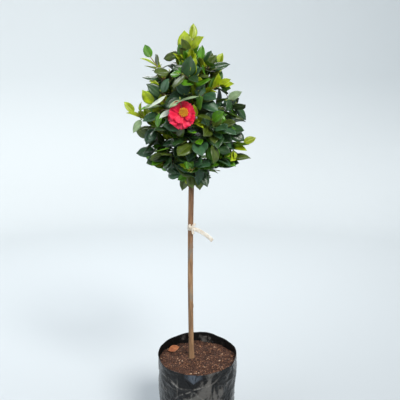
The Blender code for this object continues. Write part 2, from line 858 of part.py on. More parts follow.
def grow_shoots(mass, rng, lines, radii, space, taken):
    """The mass's shoots: its stem, the other leading shoots, and those of the seeded rule."""
    root, way = along(lines[mass.limb], 1.0)
    root = root + way * GAP
    stem = lead_shoot(root, way, mass.leads[0], STEM_STEPS, STEM_RADIUS)
    stem.points[1] = root + way * (stem.points[1] - root).length
    shoots = [stem]
    leads = list(mass.leads[1:])
    for _ in range(mass.more):
        tip = free_tip(rng, space, taken)
        if tip:
            taken.append(tip)
            leads.append((*tip, 0.9 if rng.random() < 0.2 else rng.uniform(0.0, 0.25)))
    for i, lead in enumerate(leads):
        target = Vector(lead[:3])
        spots = [(i + 1.0) / (len(leads) + 1.4), 0.12, 0.3, 0.5, 0.7]
        for spot in spots:
            start, stem_way = along(stem.points, spot)
            aim = (stem_way + 0.9 * (target - start).normalized()).normalized()
            shoot = lead_shoot(start, aim, lead, TWIG_STEPS, TWIG_RADIUS)
            clear = inside(shoot.points, space, CELL_MARGIN + TWIG_RADIUS)
            if clear and not near_limbs(shoot.points[1:], TWIG_RADIUS, lines, radii, mass.limb):
                shoots.append(shoot)
                break
    if mass.name == FLOWER_MASS:
        start, _ = along(stem.points, 0.3)
        end = FLOWER_PLACE - FLOWER_FACE * 0.002
        points = bend(start, end - FLOWER_FACE * 0.04, end, TWIG_STEPS + 1)
        shoots.append(Shoot(points, tapered(TWIG_RADIUS, TWIG_TIP_RADIUS, len(points)), 0.0))
    for i, shoot in enumerate(shoots):
        shoot.name = f"{mass.name}_{i}"
    return shoots


def grow_crown(lines, radii):
    """Each mass's shoots, by name."""
    all_spaces = spaces(lines)
    limbs = Crowd()
    for name, line in lines.items():
        wide = [radius + LIMB_MARGIN for radius in radii[name]]
        limbs.add(twig_tree(line, wide), line, name)
    before = [FLOWER_PLACE - FLOWER_FACE * 0.012, FLOWER_PLACE + FLOWER_FACE * 0.06]
    limbs.add(twig_tree(before, [1.05 * FLOWER_RADIUS] * 2, 8), before, "flower")
    limbs.reaches[-1] += FLOWER_RADIUS
    taken = [Vector(lead[:3]) for mass in MASSES for lead in mass.leads]
    found = {}
    draws = {}
    twigs = Crowd()
    for seed, mass in enumerate(MASSES):
        draws[mass.name] = random.Random(seed)
        shoots = grow_shoots(mass, draws[mass.name], lines, radii, all_spaces[mass.name], taken)
        found[mass.name] = shoots
        for shoot in shoots:
            wide = [TWIG_CLEARANCE * radius for radius in shoot.radii]
            twigs.add(twig_tree(shoot.points, wide), shoot.points, shoot.name)
    leaves = Crowd()
    for name, shoots in found.items():
        own = tuple(shoot.name for shoot in shoots)
        for shoot in shoots:
            add_leaves(shoot, FIRST_LEAF, draws[name], all_spaces[name], own, limbs, twigs, leaves)
    for name, shoots in found.items():
        own = tuple(shoot.name for shoot in shoots)
        fill(shoots, draws[name], all_spaces[name], own, limbs, twigs, leaves)
    for shoot in [shoot for shoots in found.values() for shoot in shoots]:
        shoot.leaves = [leaf for leaf in shoot.leaves if not before_flower(leaf)]
    return found


# Solids of the crown


def twig_profile(into):
    """The three-sided outline of every twig, wound so that the tubes face out."""
    curve = bpy.data.curves.new("twig_outline", "CURVE")
    curve.dimensions = "2D"
    spline = curve.splines.new("POLY")
    spline.points.add(2)
    for i, point in enumerate(spline.points):
        angle = -math.tau * i / 3
        point.co = (math.cos(angle), math.sin(angle), 0.0, 1.0)
    spline.use_cyclic_u = True
    made = put("twig_outline", curve, into)
    made.hide_render = True
    return made


def bloom_parts():
    """The flower's boss of stamens and its petals, each a closed solid that overlaps the others."""
    turn = FLOWER_FACE.to_track_quat("Z", "Y").to_matrix()
    boss = bmesh.new()
    bmesh.ops.create_uvsphere(boss, u_segments=7, v_segments=4, radius=1.0)
    for vert in boss.verts:
        spot = Vector((vert.co.x * BOSS_RADIUS, vert.co.y * BOSS_RADIUS, vert.co.z * BOSS_LENGTH))
        vert.co = FLOWER_PLACE + turn @ spot
    found = [boss]
    for i in range(FLOWER_PETALS):
        petal = bmesh.new()
        bmesh.ops.create_uvsphere(petal, u_segments=6, v_segments=2, radius=1.0)
        spin = Matrix.Rotation(math.tau * i / FLOWER_PETALS, 3, "Z")
        for vert in petal.verts:
            reach = FLOWER_RADIUS * (0.5 + 0.5 * vert.co.x)
            side = 0.56 * FLOWER_RADIUS * vert.co.y
            rise = PETAL_LIFT * reach**2 / FLOWER_RADIUS + 0.08 * side
            rise += 0.5 * PETAL_THICKNESS * vert.co.z + 0.0015
            vert.co = FLOWER_PLACE + turn @ spin @ Vector((reach, side, rise))
        found.append(petal)
    return found


def keep_main_body(mesh):
    """Drops loose scraps, and fills sealed hollows by dropping their walls."""
    work = bmesh.new()
    work.from_mesh(mesh)
    bodies = []
    left = set(work.faces)
    while left:
        body = {left.pop()}
        edge = list(body)
        while edge:
            face = edge.pop()
            for other in {link for side in face.edges for link in side.link_faces} & left:
                left.discard(other)
                body.add(other)
                edge.append(other)
        bodies.append(body)
    bodies.sort(key=len)
    scraps = [face for body in bodies[:-1] for face in body]
    bmesh.ops.delete(work, geom=scraps, context="FACES")
    work.to_mesh(mesh)
    work.free()


def make_mass(name, shoots, plant, profile, foliage, extras=()):
    """One solid: the stem, with twigs, leaves and any bloom fused to it."""
    parts = collection(f"{name}_parts")
    stem = tube_object(name, shoots[0].points, shoots[0].radii, plant, profile)
    for i, shoot in enumerate(shoots[1:]):
        tube_object(f"{name}_twig_{i}", shoot.points, shoot.radii, parts, profile)
    for i, leaf in enumerate(leaf for shoot in shoots for leaf in shoot.leaves):
        work = leaf_mesh(leaf)
        mesh = bpy.data.meshes.new(f"{name}_leaf")
        work.to_mesh(mesh)
        work.free()
        put(f"{name}_leaf_{i}", mesh, parts)
    for i, work in enumerate(extras):
        mesh = bpy.data.meshes.new(f"{name}_bloom")
        work.to_mesh(mesh)
        work.free()
        put(f"{name}_bloom_{i}", mesh, parts)
    join = stem.modifiers.new("join", "BOOLEAN")
    join.operation = "UNION"
    join.operand_type = "COLLECTION"
    join.collection = parts
    join.solver = "MANIFOLD"
    thin = stem.modifiers.new("thin out the seams", "DECIMATE")
    thin.ratio = SEAM_RATIO
    mesh = evaluated_mesh(stem, 0.01 * WELD)
    stem.modifiers.clear()
    keep_main_body(mesh)
    mesh.materials.clear()
    mesh.materials.append(foliage)
    stem.data = mesh
    for part in list(parts.objects):
        bpy.data.objects.remove(part)
    bpy.data.collections.remove(parts)
    return stem


def main():
    """Builds the plant."""
    for made in list(bpy.data.objects):
        bpy.data.objects.remove(made)
    plant = collection("potted_standard_camellia")
    cutters = collection("cutters")
    wood = material("bark", (0.32, 0.22, 0.13), 0.8)
    foliage = material("foliage", (0.05, 0.16, 0.05), 0.4)
    make_bag(plant, material("black_film", (0.02, 0.02, 0.022), 0.3))
    make_soil(plant, material("bark_compost", (0.09, 0.055, 0.035), 0.95))
    make_label(plant, cutters, material("label_film", (0.8, 0.8, 0.76), 0.5))
    lines, radii = all_lines()
    make_limbs(lines, radii, plant, cutters, wood)
    crown = grow_crown(lines, radii)
    profile = twig_profile(cutters)
    for name, shoots in crown.items():
        extras = bloom_parts() if name == FLOWER_MASS else ()
        make_mass(name, shoots, plant, profile, foliage, extras)


main()
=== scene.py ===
"""Looks of the potted standard camellia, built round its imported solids.

Metres, +Z up, in the part's own frame. The front faces -Y. The crown grows by the same seeded rule as the
part's solids, so that each detailed leaf stands where the plain one does, and goes on to finer sprays.
"""

import json
import math
import random
from typing import NamedTuple

import bmesh
import bpy
import numpy as np
from mathutils import Matrix, Vector, noise
from mathutils.bvhtree import BVHTree
from mathutils.kdtree import KDTree

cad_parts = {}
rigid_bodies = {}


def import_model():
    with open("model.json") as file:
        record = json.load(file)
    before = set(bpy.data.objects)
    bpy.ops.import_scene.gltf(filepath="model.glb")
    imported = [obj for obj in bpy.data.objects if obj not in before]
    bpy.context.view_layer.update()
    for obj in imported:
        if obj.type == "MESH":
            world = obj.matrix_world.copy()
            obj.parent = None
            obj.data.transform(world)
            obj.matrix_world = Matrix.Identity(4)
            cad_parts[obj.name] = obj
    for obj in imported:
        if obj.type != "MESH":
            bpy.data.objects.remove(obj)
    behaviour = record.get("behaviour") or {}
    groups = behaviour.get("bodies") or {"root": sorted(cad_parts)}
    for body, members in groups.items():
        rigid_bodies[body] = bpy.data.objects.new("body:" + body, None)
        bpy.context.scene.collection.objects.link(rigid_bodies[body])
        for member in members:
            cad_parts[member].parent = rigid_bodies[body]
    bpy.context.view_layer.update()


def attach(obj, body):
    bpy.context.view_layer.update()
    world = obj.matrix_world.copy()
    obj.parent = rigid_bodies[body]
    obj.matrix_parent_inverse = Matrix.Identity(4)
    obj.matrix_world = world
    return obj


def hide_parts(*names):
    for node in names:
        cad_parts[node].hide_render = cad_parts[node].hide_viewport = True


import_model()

BODY = "root"

UP = Vector((0.0, 0.0, 1.0))

# Camera
CAMERA_PLACE = (0.0106, -1.956, 1.25)
CAMERA_TILT = math.radians(90.0 - 9.67)
CAMERA_LENS = 50.0

# The part's own dimensions, repeated
GAP = 0.0003
SOIL_LEVEL = 0.317
CROWN_FOOT = 0.955
CROWN_HEAD = 1.475
CROWN_REACH = 0.188
CROWN_X = -0.019
BAG_TOP_RADIUS = 0.1463
BAG_FOOT_RADIUS = 0.131
BAG_EDGE = 0.016
BAG_RIM = 0.337
BAG_RIM_SWAY = 0.0185
BAG_RIM_WAVE = 0.0018
BAG_CREASE = 0.0016
SOIL_BUMP = 0.0045
SOIL_PAD = 0.024
TRUNK_FOOT = Vector((-0.0212, 0.0, SOIL_LEVEL + GAP))
TRUNK_TOP = Vector((-0.0185, 0.0, 1.05))
TRUNK_BOW = -0.0045
TRUNK_RADIUS = 0.0094
TRUNK_TOP_RADIUS = 0.0100
TRUNK_FLARE = 0.0015
TRUNK_FLARE_HEIGHT = 0.03
TRUNK_STEPS = 16
LIMB_BOW = 0.10
LIMB_STEPS = 4
LABEL_HEIGHT = 0.815
LABEL_WIDTH = 0.015
LABEL_CLEARANCE = 0.0014
LABEL_EARS = ((0.9, 0.024), (-0.35, 0.017), (2.0, 0.017), (-1.15, 0.021))  # angle, length
LABEL_START = math.radians(25.0)
LABEL_END = math.radians(262.0)
LABEL_TAIL = 0.088
LABEL_DROP = 0.039

# Shoots and leaves
STEM_RADIUS = 0.0034
TWIG_RADIUS = 0.0021
TWIG_TIP_RADIUS = 0.0014
STEM_STEPS = 5
TWIG_STEPS = 2
LEAF_GAP = 0.0185  # between the leaves along a shoot
LEAF_TURN = math.radians(144.0)  # each leaf stands two fifths of a turn from the last
OLD_LEAF = (0.068, 0.086)  # shortest and longest
OLD_LEAF_WIDTH = 0.66  # in parts of the length
YOUNG_LEAF = (0.048, 0.062)
YOUNG_LEAF_WIDTH = 0.52
LEAF_THICKNESS = 0.022
LEAF_WIDEST = 0.42  # how far along
LEAF_FOLD = 0.22  # rise of the edges above the rib, in parts of the half width
FIRST_LEAF = 0.14  # how far along the stem the leaves start
LEAF_OVERHANG = 0.014  # how far a leaf may reach past the edge of its mass's space
TWIG_TRIES = 18
TWIG_CLEARANCE = 1.5  # in parts of a twig's radius
LOW_HANG = 2.2  # how much more the leaves hang in the lowest part of the crown
LOW_HEIGHT = 0.2
LEAF_TRIES = 30
FILL_TRIES = 150  # more leaves are tried at random places until the mass has its number
MASS_LEAVES = 20
LIGHT = Vector((0.0, -0.5, 0.6))  # the upper faces turn this way
SKIRT_RISE = 0.09  # how much higher the lowest leaves hang at the crown's side than at the trunk
SKIRT_START = 0.02
SKIRT_END = 0.15
SPACE_PARTS = (0.35, 0.7, 1.0)  # where along the way to each leading shoot's tip a mass's own points lie
CELL_MARGIN = 0.0012  # each mass stays this far inside its own space
LIMB_MARGIN = 0.0015
TIP_TRIES = 90
TIP_ROOM = 0.012  # a free tip is this far inside its mass's space
TIP_REACH = (0.35, 1.0)  # in parts of the crown's radius
LINE_SAMPLES = 12  # steps in which a line is searched
LAST_LEAF = 0.985  # how far along a shoot its last leaf stands

# Finer sprays than the solids have
SPRAY_TRIES = 70  # for each mass
SPRAY_LEAVES = 18  # at most, for each mass
SPRAY_LENGTH = (0.014, 0.034)
SPRAY_RADIUS = 0.0012
SPRAY_REACH = 0.006  # how far past the rounded crown they may stand
LIME_HEIGHT = 1.17  # below it, and within this reach, fewer young leaves are lime
LIME_REACH = 0.13
LOW_LIME = 0.25
HIGH_LIME = 0.80
HALF_YOUNG_BRIGHT = 0.75
OLD_KINDS = {"deep": 0.43, "teal": 0.25, "olive": 0.16, "bright": 0.13, "pale": 0.03}  # shares; the pale kind is a painted sky reflection
LEADER_HEIGHT = 1.405  # leaves above it are young
SPRAY_LEAF = (0.62, 0.85)  # in parts of the leaf that the rule gives

# Detailed leaves
LEAF_QUILT = 0.00045  # how far the blade rises between two veins
RIB_DEPTH, RIB_WIDTH = 0.0007, 0.0012
LEAF_ROWS = (0.0, 0.035, 0.07, 0.10, 0.14, 0.19, 0.25, 0.32, 0.39)
LEAF_ROWS += (0.46, 0.54, 0.62, 0.70, 0.78, 0.85, 0.91, 0.96, 1.0)
LEAF_COLUMNS = 9
LEAF_FILM = 0.00045
PETIOLE_RADIUS = 0.0010
PETIOLE_END = 0.085  # in parts of the leaf's length
LEAF_TOOTH = 0.022  # every other row of the edge stands out by this part of the half width
LEAF_VEINS = 7.0
VEIN_SLANT = 0.9
RIB_HALF = 0.012  # in parts of the leaf's width
COAT_ROUGHNESS = 0.22
BUD_LENGTH = 0.009
BUD_RADIUS = 0.0018
TWIG_SIDES = 8
TWIG_LOOKS = {  # dark, middle, light
    "twig_brown": ((0.05, 0.03, 0.018), (0.14, 0.075, 0.04), (0.26, 0.16, 0.09)),
    "bud_green": ((0.16, 0.22, 0.03), (0.30, 0.36, 0.05), (0.45, 0.50, 0.12)),
    "twig_green": ((0.16, 0.10, 0.02), (0.32, 0.20, 0.04), (0.36, 0.34, 0.06)),
}

# Flower
FLOWER_MASS = "foliage_front"
FLOWER_PLACE = Vector((-0.0455, -0.166, 1.222))
FLOWER_FACE = Vector((0.06, -1.0, 0.16)).normalized()
FLOWER_RADIUS = 0.044
GOLDEN_ANGLE = 137.5  # degrees from each stamen to the next
PETAL_VEINS = 17.0
STAMENS = 130
STAMEN_RING = 0.0125
STAMEN_LENGTH = (0.012, 0.018)
BOSS = Vector((0.0035, 0.0050, 0.0))  # the boss stands a little up and to the right
STAMEN_RADIUS = 0.00032
ANTHER_RADIUS = 0.0013
PETAL_LOOKS = {  # deep, middle, light
    "petal": ((0.40, 0.0, 0.012), (0.80, 0.006, 0.050), (0.93, 0.06, 0.14)),
    "petal_back": ((0.38, 0.0, 0.012), (0.62, 0.004, 0.035), (0.72, 0.03, 0.08)),
}
STAMEN_LOOKS = {  # dark, light, roughness, scale
    "stamen_thread": ((0.80, 0.38, 0.08), (0.90, 0.60, 0.20), 0.6, 200.0),
    "anther": ((0.72, 0.30, 0.01), (0.90, 0.52, 0.04), 0.7, 300.0),
}

# Trunk and boughs
BARK_SIDES = 40
BARK_STEPS_PER_POINT = 16
BARK_RELIEF = 0.055  # in parts of the radius
LOW_BARK = ((0.30, (0.12, 0.066, 0.034)), (0.50, (0.27, 0.15, 0.072)), (0.72, (0.42, 0.26, 0.14)))
HIGH_BARK = ((0.30, (0.085, 0.05, 0.033)), (0.50, (0.26, 0.125, 0.06)), (0.74, (0.43, 0.25, 0.13)))
KNOTS = (  # height, degrees round
    (0.372, -100.0), (0.52, -60.0), (0.655, -125.0), (0.745, -80.0), (0.872, -110.0),
)

# Planter bag
BAG_COLUMNS = 600
BAG_SIDE_ROWS = 150
BAG_WALL = 0.0012
PUCKERS = ((-0.0133, 0.269, 9),)
FOLD_HIGHLIGHT_HEIGHT = 0.0024  # where a fold stands this high, the painted highlight along it is full
# The colour of the painted highlight along the front folds.
FOLD_HIGHLIGHT_COLOR = (0.21, 0.20, 0.185)
# The colour of the bluish painted reflection under the front rim.
RIM_REFLECTION_COLOR = (0.095, 0.115, 0.145)
PUCKERS_ROUND = 7  # more of them, all round
PUCKER_SIZES = ((0.03, 0.085), (0.003, 0.008), (0.0005, 0.0016))  # least and most length, width, height
STRAY_CREASES = 70
STRAY_SIZES = ((0.02, 0.07), (0.002, 0.006), (-0.0012, 0.0009))
FILM_LOOKS = {  # colour, painted sheen (a painted reflection), roughness
    "film": ((0.004, 0.004, 0.0045), (0.085, 0.080, 0.074), 0.26),
    "film_inside": ((0.003, 0.003, 0.003), (0.003, 0.003, 0.003), 0.5),
}
BAG_FOOT_ROWS = ((0.02, 0.0), (0.3, 0.0), (0.7, 0.0), (0.86, 0.0), (0.94, 0.0012), (0.975, 0.005))
BAG_INNER_ROWS = (  # below the rim, and how many walls in from it
    (-0.0006, 0.5), (0.0, 1.0), (0.004, 1.0), (0.012, 1.0), (0.024, 1.0), (0.04, 1.1), (0.055, 1.2),
)
PAINTED_SHEEN_LEAN = 0.28  # how much more painted sheen, a painted reflection, the bag has for each metre to the right
RIM_REFLECTION_PLACE = (-0.012, 0.299)  # the lowest point of a smooth, bluish painted reflection under the rim, on the unrolled side
FOLDS = (  # the sharp ones in front: start and end on the unrolled side, width, height
    ((-0.133, 0.300), (-0.016, 0.268), 0.0045, 0.0026),
    ((-0.112, 0.301), (-0.030, 0.262), 0.0035, 0.0020),
    ((-0.126, 0.292), (-0.074, 0.254), 0.0040, 0.0022),
    ((-0.010, 0.276), (0.100, 0.312), 0.0060, 0.0020),
    ((-0.008, 0.268), (0.112, 0.262), 0.0055, -0.0020),
    ((-0.012, 0.264), (0.060, 0.205), 0.0060, 0.0020),
    ((-0.018, 0.262), (-0.020, 0.190), 0.0060, 0.0020),
    ((-0.024, 0.266), (-0.095, 0.215), 0.0050, 0.0020),
)

# Potting mix
SOIL_LUMP = 0.0042
SOIL_LOOKS = {  # dark, light, roughness, scale, and the mix's own rough grain
    "mix_dark": ((0.016, 0.007, 0.0045), (0.085, 0.036, 0.021), 0.95, 90.0, 0.6, 0.002),
    "chip_brown": ((0.060, 0.024, 0.013), (0.17, 0.070, 0.038), 0.85, 160.0),
    "chip_dark": ((0.020, 0.009, 0.006), (0.08, 0.034, 0.020), 0.9, 160.0),
    "chip_tan": ((0.20, 0.085, 0.040), (0.42, 0.20, 0.10), 0.8, 160.0),
    "chip_pale": ((0.36, 0.20, 0.12), (0.60, 0.42, 0.28), 0.85, 160.0),
}
DRY_LEAF_LOOK = ((0.26, 0.075, 0.03), (0.50, 0.19, 0.08), 0.6, 70.0)
CHIP_SHARES = (0.53, 0.33, 0.126, 0.014)  # brown, dark, tan, pale
SOIL_DEPTH = 0.03  # how deep the piece goes
CHIPS = 6500
CHIP_SIZE = (0.0018, 0.0085)


class LeafLook(NamedTuple):
    """One leaf colour: above, its veins, roughness and gloss, then below and the veins there."""

    above: tuple
    veins: tuple
    roughness: float
    gloss: float
    below: tuple
    veins_below: tuple


LEAF_FINISHES = {
    "deep": LeafLook(
        (0.020, 0.062, 0.014), (0.045, 0.095, 0.024), 0.36, 0.14,
        (0.060, 0.095, 0.026), (0.09, 0.12, 0.04),
    ),
    "teal": LeafLook(
        (0.034, 0.100, 0.040), (0.070, 0.14, 0.055), 0.38, 0.18,
        (0.070, 0.115, 0.042), (0.10, 0.14, 0.06),
    ),
    "olive": LeafLook(
        (0.062, 0.098, 0.008), (0.11, 0.15, 0.020), 0.38, 0.14,
        (0.10, 0.12, 0.028), (0.13, 0.15, 0.04),
    ),
    "bright": LeafLook(
        (0.080, 0.250, 0.004), (0.15, 0.33, 0.014), 0.40, 0.14,
        (0.12, 0.22, 0.016), (0.17, 0.27, 0.04),
    ),
    "lime": LeafLook(
        (0.340, 0.440, 0.004), (0.50, 0.58, 0.022), 0.40, 0.12,
        (0.32, 0.39, 0.012), (0.42, 0.48, 0.04),
    ),
    # A painted sky reflection: glossy leaves, with the sky's sheen painted into their colour.
    "pale": LeafLook(
        (0.230, 0.330, 0.170), (0.34, 0.42, 0.24), 0.45, 0.10,
        (0.20, 0.28, 0.13), (0.30, 0.36, 0.20),
    ),
    # Painted glare: whitish leaves, with a bright reflection painted into their colour.
    "painted_glare": LeafLook(
        (0.500, 0.570, 0.480), (0.58, 0.62, 0.50), 0.40, 0.15,
        (0.32, 0.38, 0.28), (0.42, 0.46, 0.34),
    ),
}

# Room
FLOOR = -0.0005
ROOM_RADIUS = 3.6
ROOM_BEND = 1.6
ROOM_HEIGHT = 3.4
ROOM_STEPS = 12  # in the bend from floor to wall
ROOM_COLOR = (0.60, 0.64, 0.665)
SKY_COLOR = (0.88, 0.94, 1.0)
SKY_STRENGTH = 0.42
SUN_FROM = Vector((0.55, -1.0, 0.95))
SUN_STRENGTH = 3.0
SUN_SPREAD = math.radians(24.0)
SUN_COLOR = (1.0, 0.985, 0.95)
LIT_POINT = Vector((0.0, 0.0, 1.05))
LAMPS = (  # name, place, size, energy, colour
    ("fill", (-2.4, -1.8, 1.7), 1.8, 20.0, (0.92, 0.96, 1.0)),
    ("back", (-0.6, 2.2, 3.0), 1.8, 45.0, (0.95, 0.97, 1.0)),
)


class Limb(NamedTuple):
    """One bough: where it leaves its parent, its tip, and its radius at each end."""

    name: str
    parent: str
    along: float
    tip: tuple
    foot_radius: float
    tip_radius: float


class Mass(NamedTuple):
    """One mass of foliage on a bough: (x, y, z, youth) of its leading shoots' tips, and how many more."""

    limb: str
    leads: tuple
    more: int

    @property
    def name(self):
        """The name of the node that it replaces."""
        return self.limb.replace("bough", "foliage")


class Leaf(NamedTuple):
    """A leaf's place: its foot, the way it points, the way its upper face looks, its size, and its youth."""

    foot: Vector
    axis: Vector
    face: Vector
    length: float
    width: float
    droop: float
    youth: float
    kind: str = ""


class NamedLeaf(NamedTuple):
    """A leaf that the view shows well: its mass, foot, tip, width, the way it looks, and its colour."""

    mass: str
    foot: tuple
    tip: tuple
    width: float
    look: tuple
    kind: str


# Named leaves of the pale and silver kinds carry a painted sky reflection and painted glare in their colour.
NAMED_LEAVES = (
    NamedLeaf("foliage_front", (0.008, -0.176, 1.279), (-0.066, -0.198, 1.262),
              0.019, (0.2, -0.35, 1.0), "pale"),
    NamedLeaf("foliage_front", (-0.052, -0.178, 1.268), (-0.088, -0.196, 1.246),
              0.020, (-0.4, -0.8, 0.6), "pale"),
    NamedLeaf("foliage_left_front", (-0.099, -0.118, 1.282), (-0.160, -0.138, 1.243),
              0.018, (0.1, -0.6, 1.0), "painted_glare"),
    NamedLeaf("foliage_left_front", (-0.078, -0.150, 1.236), (-0.120, -0.178, 1.214),
              0.026, (-0.1, -0.8, 1.0), "painted_glare"),
    NamedLeaf("foliage_left", (-0.191, -0.030, 1.204), (-0.219, -0.050, 1.158),
              0.028, (-0.3, -0.9, 0.3), "pale"),
    NamedLeaf("foliage_low_left", (-0.031, -0.018, 1.020), (-0.054, -0.032, 0.955),
              0.036, (-0.2, -1.0, 0.2), "olive"),
    NamedLeaf("foliage_low_front", (-0.024, -0.030, 1.024), (-0.016, -0.052, 0.966),
              0.034, (0.0, -1.0, 0.3), "olive"),
    NamedLeaf("foliage_low_right", (0.004, -0.028, 1.021), (0.010, -0.050, 0.960),
              0.036, (0.1, -1.0, 0.2), "olive"),
    NamedLeaf("foliage_low_right", (0.011, -0.024, 1.035), (0.038, -0.048, 0.971),
              0.038, (0.3, -1.0, 0.2), "deep"),
    NamedLeaf("foliage_right", (0.103, -0.030, 1.268), (0.153, -0.034, 1.298),
              0.030, (0.2, -0.9, 0.5), "pale"),
)

LIMBS = (
    Limb("bough_leader", "trunk", 0.985, (-0.040, 0.003, 1.250), 0.0066, 0.0036),
    Limb("bough_left", "trunk", 0.955, (-0.056, -0.001, 1.061), 0.0052, 0.0034),
    Limb("bough_right", "trunk", 0.965, (0.011, 0.002, 1.071), 0.0052, 0.0034),
    Limb("bough_front", "trunk", 0.975, (-0.023, -0.030, 1.071), 0.0050, 0.0034),
    Limb("bough_back", "trunk", 0.972, (-0.019, 0.030, 1.077), 0.0050, 0.0034),
    Limb("bough_back_left", "trunk", 0.942, (-0.048, 0.021, 1.048), 0.0046, 0.0034),
    Limb("bough_back_right", "trunk", 0.948, (0.008, 0.022, 1.054), 0.0046, 0.0034),
    Limb("bough_low_left", "trunk", 0.915, (-0.039, -0.013, 0.991), 0.0042, 0.0032),
    Limb("bough_low_right", "trunk", 0.925, (0.006, -0.005, 1.004), 0.0042, 0.0032),
    Limb("bough_low_front", "trunk", 0.905, (-0.014, -0.018, 0.985), 0.0040, 0.0032),
    Limb("bough_low_back", "trunk", 0.905, (-0.024, 0.019, 0.979), 0.0042, 0.0032),
    Limb("bough_left_front", "bough_left", 0.420, (-0.058, -0.027, 1.117), 0.0040, 0.0032),
    Limb("bough_right_front", "bough_right", 0.400, (0.017, -0.032, 1.092), 0.0040, 0.0032),
    Limb("bough_top_left", "bough_leader", 0.450, (-0.067, 0.001, 1.218), 0.0042, 0.0032),
    Limb("bough_top_right", "bough_leader", 0.500, (-0.005, 0.002, 1.218), 0.0042, 0.0032),
    Limb("bough_top_front", "bough_leader", 0.620, (-0.026, -0.030, 1.208), 0.0040, 0.0032),
    Limb("bough_top_back", "bough_leader", 0.580, (-0.030, 0.032, 1.213), 0.0040, 0.0032),
)

MASSES = (
    Mass("bough_leader", (
        (-0.012, 0.000, 1.514, 0.6), (-0.034, -0.035, 1.430, 1.0), (-0.060, -0.010, 1.455, 0.9),
    ), 4),
    Mass("bough_top_left", (
        (-0.176, 0.000, 1.450, 0.7), (-0.104, -0.040, 1.405, 0.2), (-0.152, -0.030, 1.362, 0.0),
    ), 4),
    Mass("bough_top_right", (
        (0.018, -0.020, 1.441, 1.0), (0.090, 0.030, 1.419, 1.0), (0.104, -0.030, 1.343, 0.8),
    ), 5),
    Mass("bough_top_front", (
        (-0.008, -0.115, 1.385, 1.0), (0.050, -0.125, 1.300, 0.0), (-0.050, -0.135, 1.285, 0.0),
        (0.015, -0.070, 1.255, 0.0),
    ), 3),
    Mass("bough_top_back", (
        (-0.030, 0.110, 1.420, 0.8), (0.040, 0.100, 1.385, 0.3),
    ), 6),
    Mass("bough_left_front", (
        (-0.146, -0.060, 1.335, 0.8), (-0.171, -0.075, 1.288, 0.6), (-0.160, -0.100, 1.232, 0.1),
        (-0.090, -0.080, 1.160, 0.0),
    ), 3),
    Mass("bough_left", (
        (-0.248, -0.020, 1.255, 1.0), (-0.221, 0.000, 1.150, 0.2), (-0.178, -0.045, 1.232, 0.9),
    ), 4),
    Mass("bough_front", (
        (0.012, -0.172, 1.275, 0.3), (-0.118, -0.150, 1.190, 0.1), (0.006, -0.190, 1.120, 0.0),
        (-0.010, -0.100, 1.170, 0.0),
    ), 4),
    Mass("bough_right_front", (
        (0.104, -0.130, 1.210, 0.2), (0.062, -0.172, 1.225, 0.2), (0.078, -0.160, 1.105, 0.0),
        (0.040, -0.080, 1.210, 0.0), (0.035, -0.090, 1.120, 0.0),
    ), 3),
    Mass("bough_right", (
        (0.156, -0.020, 1.300, 0.3), (0.146, -0.060, 1.190, 0.0), (0.075, -0.040, 1.285, 0.0),
    ), 4),
    Mass("bough_low_right", (
        (0.196, -0.020, 1.146, 0.8), (0.174, -0.040, 1.070, 0.0), (0.086, -0.090, 1.065, 0.0),
        (0.036, -0.010, 1.040, 0.0),
    ), 3),
    Mass("bough_low_front", (
        (0.026, -0.125, 1.085, 0.0), (0.018, -0.036, 1.035, 0.1), (-0.046, -0.040, 1.030, 0.1),
        (-0.050, -0.125, 1.090, 0.0), (-0.012, -0.085, 1.055, 0.0),
    ), 3),
    Mass("bough_low_left", (
        (-0.160, -0.070, 1.095, 0.0), (-0.192, 0.020, 1.115, 0.1), (-0.104, -0.080, 1.070, 0.0),
        (-0.125, -0.110, 1.125, 0.0), (-0.070, -0.015, 1.040, 0.0),
    ), 2),
    Mass("bough_back", (
        (-0.020, 0.185, 1.225, 0.1), (-0.030, 0.165, 1.300, 0.7),
    ), 5),
    Mass("bough_low_back", (
        (-0.060, 0.120, 1.100, 0.0), (0.016, 0.050, 1.040, 0.0), (-0.055, 0.050, 1.035, 0.0),
    ), 4),
    Mass("bough_back_left", (
        (-0.170, 0.130, 1.240, 0.6),
    ), 6),
    Mass("bough_back_right", (
        (0.140, 0.120, 1.230, 0.5),
    ), 6),
)


def bend(start, middle, end, steps):
    """Points on a quadratic curve."""
    found = []
    for i in range(steps + 1):
        t = i / steps
        found.append(start * (1 - t) ** 2 + middle * 2 * t * (1 - t) + end * t**2)
    return found


def tapered(first, last, count):
    """Evenly changing radii."""
    return [first + (last - first) * i / (count - 1) for i in range(count)]


def along(points, fraction):
    """The point at a fraction of the way along, and the direction there."""
    place = min(max(fraction, 0.0), 0.9999) * (len(points) - 1)
    i = int(place)
    step = points[i + 1] - points[i]
    return points[i] + step * (place - i), step.normalized()


def length_of(points):
    """The length along the points."""
    return sum((b - a).length for a, b in zip(points, points[1:]))


def across(vector, axis):
    """The unit part of the vector that is square to the axis."""
    return (vector - axis * vector.dot(axis)).normalized()


def trunk_points():
    """The trunk's centre line, bowed a little to one side."""
    found = []
    for i in range(TRUNK_STEPS + 1):
        t = (i / TRUNK_STEPS) ** 1.5
        point = TRUNK_FOOT.lerp(TRUNK_TOP, t)
        point.x += TRUNK_BOW * math.sin(math.pi * t)
        found.append(point)
    return found


def trunk_radius(height):
    """Flared at the ground, then nearly even."""
    t = (height - TRUNK_FOOT.z) / (TRUNK_TOP.z - TRUNK_FOOT.z)
    flare = TRUNK_FLARE * math.exp(-(height - TRUNK_FOOT.z) / TRUNK_FLARE_HEIGHT)
    return TRUNK_RADIUS + (TRUNK_TOP_RADIUS - TRUNK_RADIUS) * t**2 + flare


def limb_points(limb, lines):
    """A bough's centre line, from its parent's, sagging outwards before it rises."""
    start, _ = along(lines[limb.parent], limb.along)
    end = Vector(limb.tip)
    out = Vector((end.x - start.x, end.y - start.y, 0.0)).normalized()
    sag = (out - UP) * LIMB_BOW * (end - start).length
    return bend(start, start.lerp(end, 0.5) + sag, end, LIMB_STEPS)


